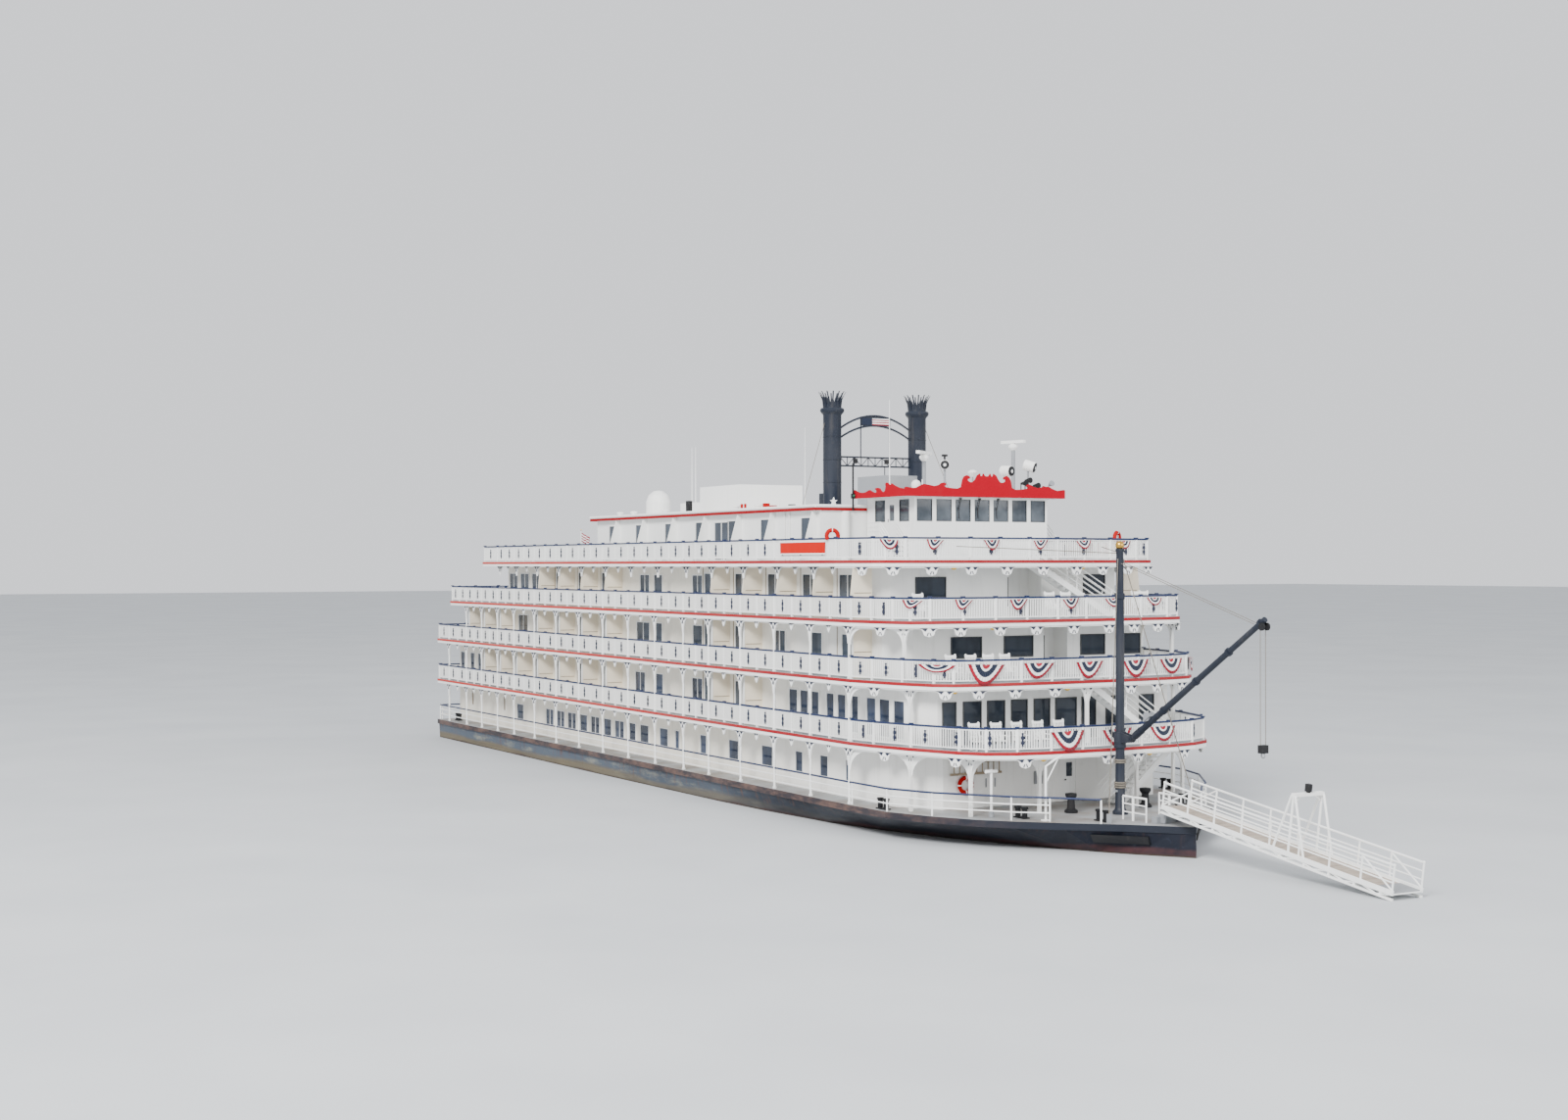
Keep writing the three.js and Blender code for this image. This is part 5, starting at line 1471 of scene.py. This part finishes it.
# Bunting: the deck, y of the middle, half width, depth, and how far the wind carries it sideways
BUNTING = [
    (2, -2.5, 0.9, 0.88, 0.05), (2, 0.15, 0.85, 0.8, -0.1), (2, 2.85, 0.75, 0.72, 0.08),
    (3, -7.2, 0.85, 0.36, 0.3), (3, -5.15, 0.95, 0.92, -0.1), (3, -2.4, 0.85, 0.68, -0.2),
    (3, 0.4, 0.8, 0.76, -0.18), (3, 3.1, 0.78, 0.82, -0.06), (3, 5.35, 0.72, 0.74, 0.05),
    (3, 7.3, 0.7, 0.7, 0.1),
    (4, -7.6, 0.48, 0.36, -0.25), (4, -5.1, 0.48, 0.42, -0.3), (4, -2.2, 0.5, 0.46, -0.25),
    (4, 0.7, 0.5, 0.46, -0.05), (4, 3.25, 0.48, 0.44, 0.1), (4, 5.9, 0.48, 0.4, 0.2),
    (5, -7.5, 0.46, 0.46, 0.25), (5, -5.2, 0.46, 0.44, -0.25), (5, -2.2, 0.46, 0.46, 0.1),
    (5, 0.6, 0.44, 0.42, -0.25), (5, 3.2, 0.46, 0.42, 0.05), (5, 5.8, 0.46, 0.42, 0.15),
]
# The outer edge of each band of colour, as a part of the depth
BANDS = [
    (0.22, "cloth_red"), (0.33, "cloth_white"), (0.61, "cloth_navy"), (0.8, "cloth_white"),
    (1.0, "cloth_red"),
]
PLEATS = 16
CLOTH_THICK = 0.012


def bunting():
    """Pleated fans of cloth hung on the front rails, their lower edge drawn to a soft point."""
    for number, (deck, y, half, deep, wind) in enumerate(BUNTING, 1):
        work = Work()
        top = HEIGHT[deck] + (0.84 if deck < 4 else 0.93)
        seat = front_seat(deck, y, top, 0.03)
        grid = []
        for r in (0.04, *[outer for outer, _ in BANDS]):
            row = []
            for i in range(2 * PLEATS + 1):
                angle = math.pi * i / (2 * PLEATS)
                drop = r * deep * math.sin(angle) ** (1 + 1.1 * r)
                out = 0.035 + (0.045 * deep * r if i % 2 else 0) + 0.06 * drop
                along = r * half * math.cos(angle) + wind * drop
                fold = 0.03 * math.sin(3 * angle + number) * r
                row.append(work.mesh.verts.new(seat @ Vector((along, -out, fold - drop))))
            grid.append(row)
        cloth(work, grid, [finish for _, finish in BANDS])
        sheet = work.finish(f"bunting_{number}", slot="bunting_cloth", thick=CLOTH_THICK)


# Roof gear
def searchlight(work, centre, aim, radius):
    """A drum lamp that points along aim."""
    centre, aim = Vector(centre), Vector(aim).normalized()
    rim, glass, lamp = radius + 0.03, radius + 0.05, radius + 0.06
    for near, far, part, finish, sides in (
        (-radius, radius, 1, "trim", 16), (radius, rim, 0.9, "black", 16),
        (rim, glass, 0.55, "frame", 12), (glass, lamp, 0.3, "trim", 12),
    ):
        work.rod(centre + aim * near, centre + aim * far, radius * part, finish, sides)


def roof_edges(work):
    """A white tube above a red stripe along each edge of the sun deck's roof."""
    runs = [((ROOF_AFT, -ROOF_SIDE), (ROOF_AFT, ROOF_SIDE), (-0.03, 0))]
    for sign in (-1, 1):
        y, inner = sign * ROOF_SIDE, sign * 3.95
        runs.append(((ROOF_AFT, y), (ROOF_FORE, y), (0, sign * 0.03)))
        runs.append(((ROOF_FORE, inner), (ROOF_FORE, y), (0.03, 0)))
    for (x0, y0), (x1, y1), (dx, dy) in runs:
        work.tube([(x0, y0, 13.97), (x1, y1, 13.97)], 0.08, sides=8)
        work.block((x0, x1 + dx), (y0, y1 + dy), (13.75, 13.88), "roof_stripe")


def sun_roof_gear():
    work = Work()
    for x, y, top in ((29.9, -3, 18.1), (30.4, -3, 18.1), (44.2, -3.3, 18.4)):
        work.post(x, y, ROOF, top, 0.035, "trim", 6, 0.012)
    for x in (25, 27, 31.5, 40.5, 43):
        for y in (-5.5, 5.5):
            vent = [
                (0, ROOF), (0.16, ROOF), (0.16, ROOF + 0.2), (0.22, ROOF + 0.24),
                (0.22, ROOF + 0.32), (0, ROOF + 0.36)]
            work.turned(vent, (x, y, 0), "trim", 14)
    work.block((30.8, 33.4), (-4.2, -1.2), (ROOF, 14.7))
    work.block((45, 45.4), (-2.89, -2.45), (ROOF, 14.85), "charcoal")
    work.block((34.6, 37.6), (-2.9, -1.7), (15.55, 15.6), "black")
    for x in (41.3, 41.7):
        work.post(x, -5.6, ROOF, ROOF + 0.3, 0.07, "buoy", 10)
        work.ball((x, -5.6, ROOF + 0.32), 0.08, "buoy", 10, 6)
    roof_edges(work)
    for sign in (-1, 1):
        star = []
        for k in range(10):
            reach, turn = 0.21 if k % 2 == 0 else 0.09, math.pi * k / 5
            star.append((sign * 5.77 + reach * math.sin(turn), 14.2 + reach * math.cos(turn)))
        work.plate(star, "x", (51.42, 51.48))
        work.post(51.45, sign * 5.77, 13.97, 14.13, 0.04)
        work.post(51.62, sign * 5.17, 11.28, 13.72, 0.2, "trim", 14)
    for x, tall, finish in (
        (34.6, 0.75, "black"), (43.9, 0.35, "buoy"), (44.7, 0.22, "buoy"), (46.7, 0.22, "black"),
        (41.0, 0.12, "black"), (39.8, 0.1, "green"),
    ):
        work.block(about(x, 0.18), (-5.62, -5.38), (ROOF, ROOF + tall), finish)
    work.finish("roof_edge_vents_and_whips")


def pilothouse_roof_gear():
    work = Work()
    top = PILOT_ROOF
    searchlight(work, (53, -0.2, 16.1), (0.8, -0.5, -0.1), 0.24)
    work.post(53, -0.2, top, 15.86, 0.06, "steel", 10)
    work.post(53, -0.2, 16.3, 16.55, 0.05, "black", 8)
    work.block((52.9, 53.1), (-0.32, -0.08), (16.5, 16.6), "black")
    dish = [(0, 15.4), (0.07, 15.4), (0.24, 15.6), (0.24, 15.66), (0.1, 15.74), (0, 15.75)]
    work.turned(dish, (55, 0.13, 0))
    work.post(55, 0.13, top, 15.45, 0.04, "steel", 8)
    searchlight(work, (55.5, 1.84, 15.7), (0.9, 0.3, -0.05), 0.27)
    work.post(55.45, 1.84, top, 15.45, 0.05, "steel", 8)
    searchlight(work, (55.5, 3.23, 15.98), (0.75, 0.6, -0.3), 0.27)
    work.post(55.4, 3.2, top, 15.75, 0.05, "steel", 8)
    for y, z in ((2.7, 15.1), (2.95, 15.25), (3.45, 15.0)):
        work.rod((55.5, y, z), (55.95, y, z), 0.05, "black", 10, 0.15)
        work.post(55.5, y, top, z, 0.03, "black")
    work.rod((55.9, 4.1, 15.0), (56.2, 4.1, 15.12), 0.03, "steel", 8, 0.16)
    work.post(55.9, 4.1, top, 15.0, 0.03, "steel")
    work.ball((55, -3.2, 14.95), 0.24, "trim", 14, 10)
    work.post(55, -3.2, top, 14.8, 0.12, "trim", 12)
    work.post(53.4, -1.8, top, 15.3, 0.03)
    work.block((51.62, 51.78), (-4.88, -4.72), (14.35, 14.6), "black")
    work.ball((51.8, -4.8, 14.48), 0.07, "green", 10, 8)
    work.post(51.7, -4.8, ROOF - 0.2, 16.1, 0.045, "black", 8)
    work.post(52.25, -3, top, 19.3, 0.03, "trim", 6, 0.012)
    work.post(52.25, -3, top, 15.1, 0.06, "trim", 8)
    work.finish("pilothouse_roof_gear")


# Radars: x, y, foot, scanner's height, its reach and its heading in degrees
RADARS = {
    "radar_aft": (51.2, -0.27, ROOF, 16.85, 0.95, 128),
    "radar_forward": (54, 3.3, PILOT_ROOF, 17.35, 0.75, 13),
}


def radars():
    for name, (x, y, foot, head, reach, heading) in RADARS.items():
        work = Work()
        work.post(x, y, foot, head - 0.42, 0.1, "steel", 12)
        work.post(x, y, foot, foot + 0.06, 0.2, "steel", 12)
        drum = [(0, 0.5), (0.12, 0.5), (0.24, 0.36), (0.24, 0.26), (0.12, 0.16), (0, 0.15)]
        work.turned([(radius, head - drop) for radius, drop in drum], (x, y, 0))
        turn = Matrix.Translation((x, y, head)) @ Matrix.Rotation(math.radians(heading), 4, "Z")
        work.at(turn).block((-reach, reach), (-0.1, 0.1), (-0.15, 0))
        work.finish(f"{name}_dressed", replaces=(name,))


NODE_FINISH = {
    "hull": "hull", "rudder": "hull", "pilothouse_console": "black", "boom_swivel": "charcoal",
    "stage_heel": "steel", "roof_screen_box": "steel", "main_house": "wall", "deck2_house": "wall",
    "deck3_house": "wall", "deck4_house": "wall", "deck2": "deck", "deck3": "deck",
    "deck4": "deck", "deck5": "deck",
}


def dress_nodes():
    for name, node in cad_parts.items():
        starts = [key for key in NODE_FINISH if name.startswith(key)]
        chosen = NODE_FINISH[max(starts, key=len)] if starts else "trim"
        node.data.materials.clear()
        node.data.materials.append(FINISHES[chosen].material)


STERN_FLAG = {"x": 9.62, "y": -1.6, "top": 13.3, "wide": 0.9, "high": 0.62}


def stern_flag():
    """A striped flag that droops from a short staff at the sun deck's stern."""
    work = Work()
    x, y, top = STERN_FLAG["x"], STERN_FLAG["y"], STERN_FLAG["top"]
    work.post(x, y, SUN_FLOOR, top + 0.15, 0.03, "trim", 8)
    work.ball((x, y, top + 0.18), 0.05, "gold", 8, 6)
    work.finish("stern_staff")
    work = Work()
    stripes, steps = 7, 12
    grid = []
    for i in range(stripes + 1):
        row = []
        for j in range(steps + 1):
            along = STERN_FLAG["wide"] * 0.8 * j / steps
            sag = 0.5 * along
            fold = 0.06 * math.sin(j * 1.4) * (0.3 + j / steps)
            z = top - STERN_FLAG["high"] * i / stripes - sag
            spot = (x + 0.03 + along * 0.48, y + 0.02 + along * 0.7 + fold, z)
            row.append(work.mesh.verts.new(spot))
        grid.append(row)
    cloth(work, grid, ("cloth_red", "cloth_white") * 4)
    flag = work.finish("stern_flag", slot="bunting_cloth", thick=CLOTH_THICK)


def set_floor():
    height = (WATERLINE - ORIGIN[2]) * SCALE
    bpy.ops.mesh.primitive_plane_add(size=160, location=(0, 0, height))
    plane = bpy.context.object
    plane.name = "floor"
    made = Finish("floor_pale", 0.8)
    pale, paler = tone(190, 193, 196), tone(198, 201, 203)
    made.colour(made.mix(made.cloud(9, 0.3, 0.7), pale, paler))
    plane.data.materials.append(made.material)


set_camera()
set_light()
set_floor()
dress_nodes()
for deck in (1, 2, 3):
    for side, sign in SIDES.items():
        gallery(deck, side, sign)
front_rails()
front_edges()
upper_brackets()
edge_mouldings()
wall_openings()
stern_openings()
partitions()
front_openings()
pilothouse_trim()
crest()
for side, sign in SIDES.items():
    stack_dress(side, sign * STACK_Y)
stack_bridge()
paddle_wheel()
mast_and_boom()
landing_stage()
bitts_and_rails()
foredeck_gear()
front_wall_gear()
name_boards()
open_stairs()
chairs()
bunting()
sun_roof_gear()
pilothouse_roof_gear()
radars()
stern_flag()
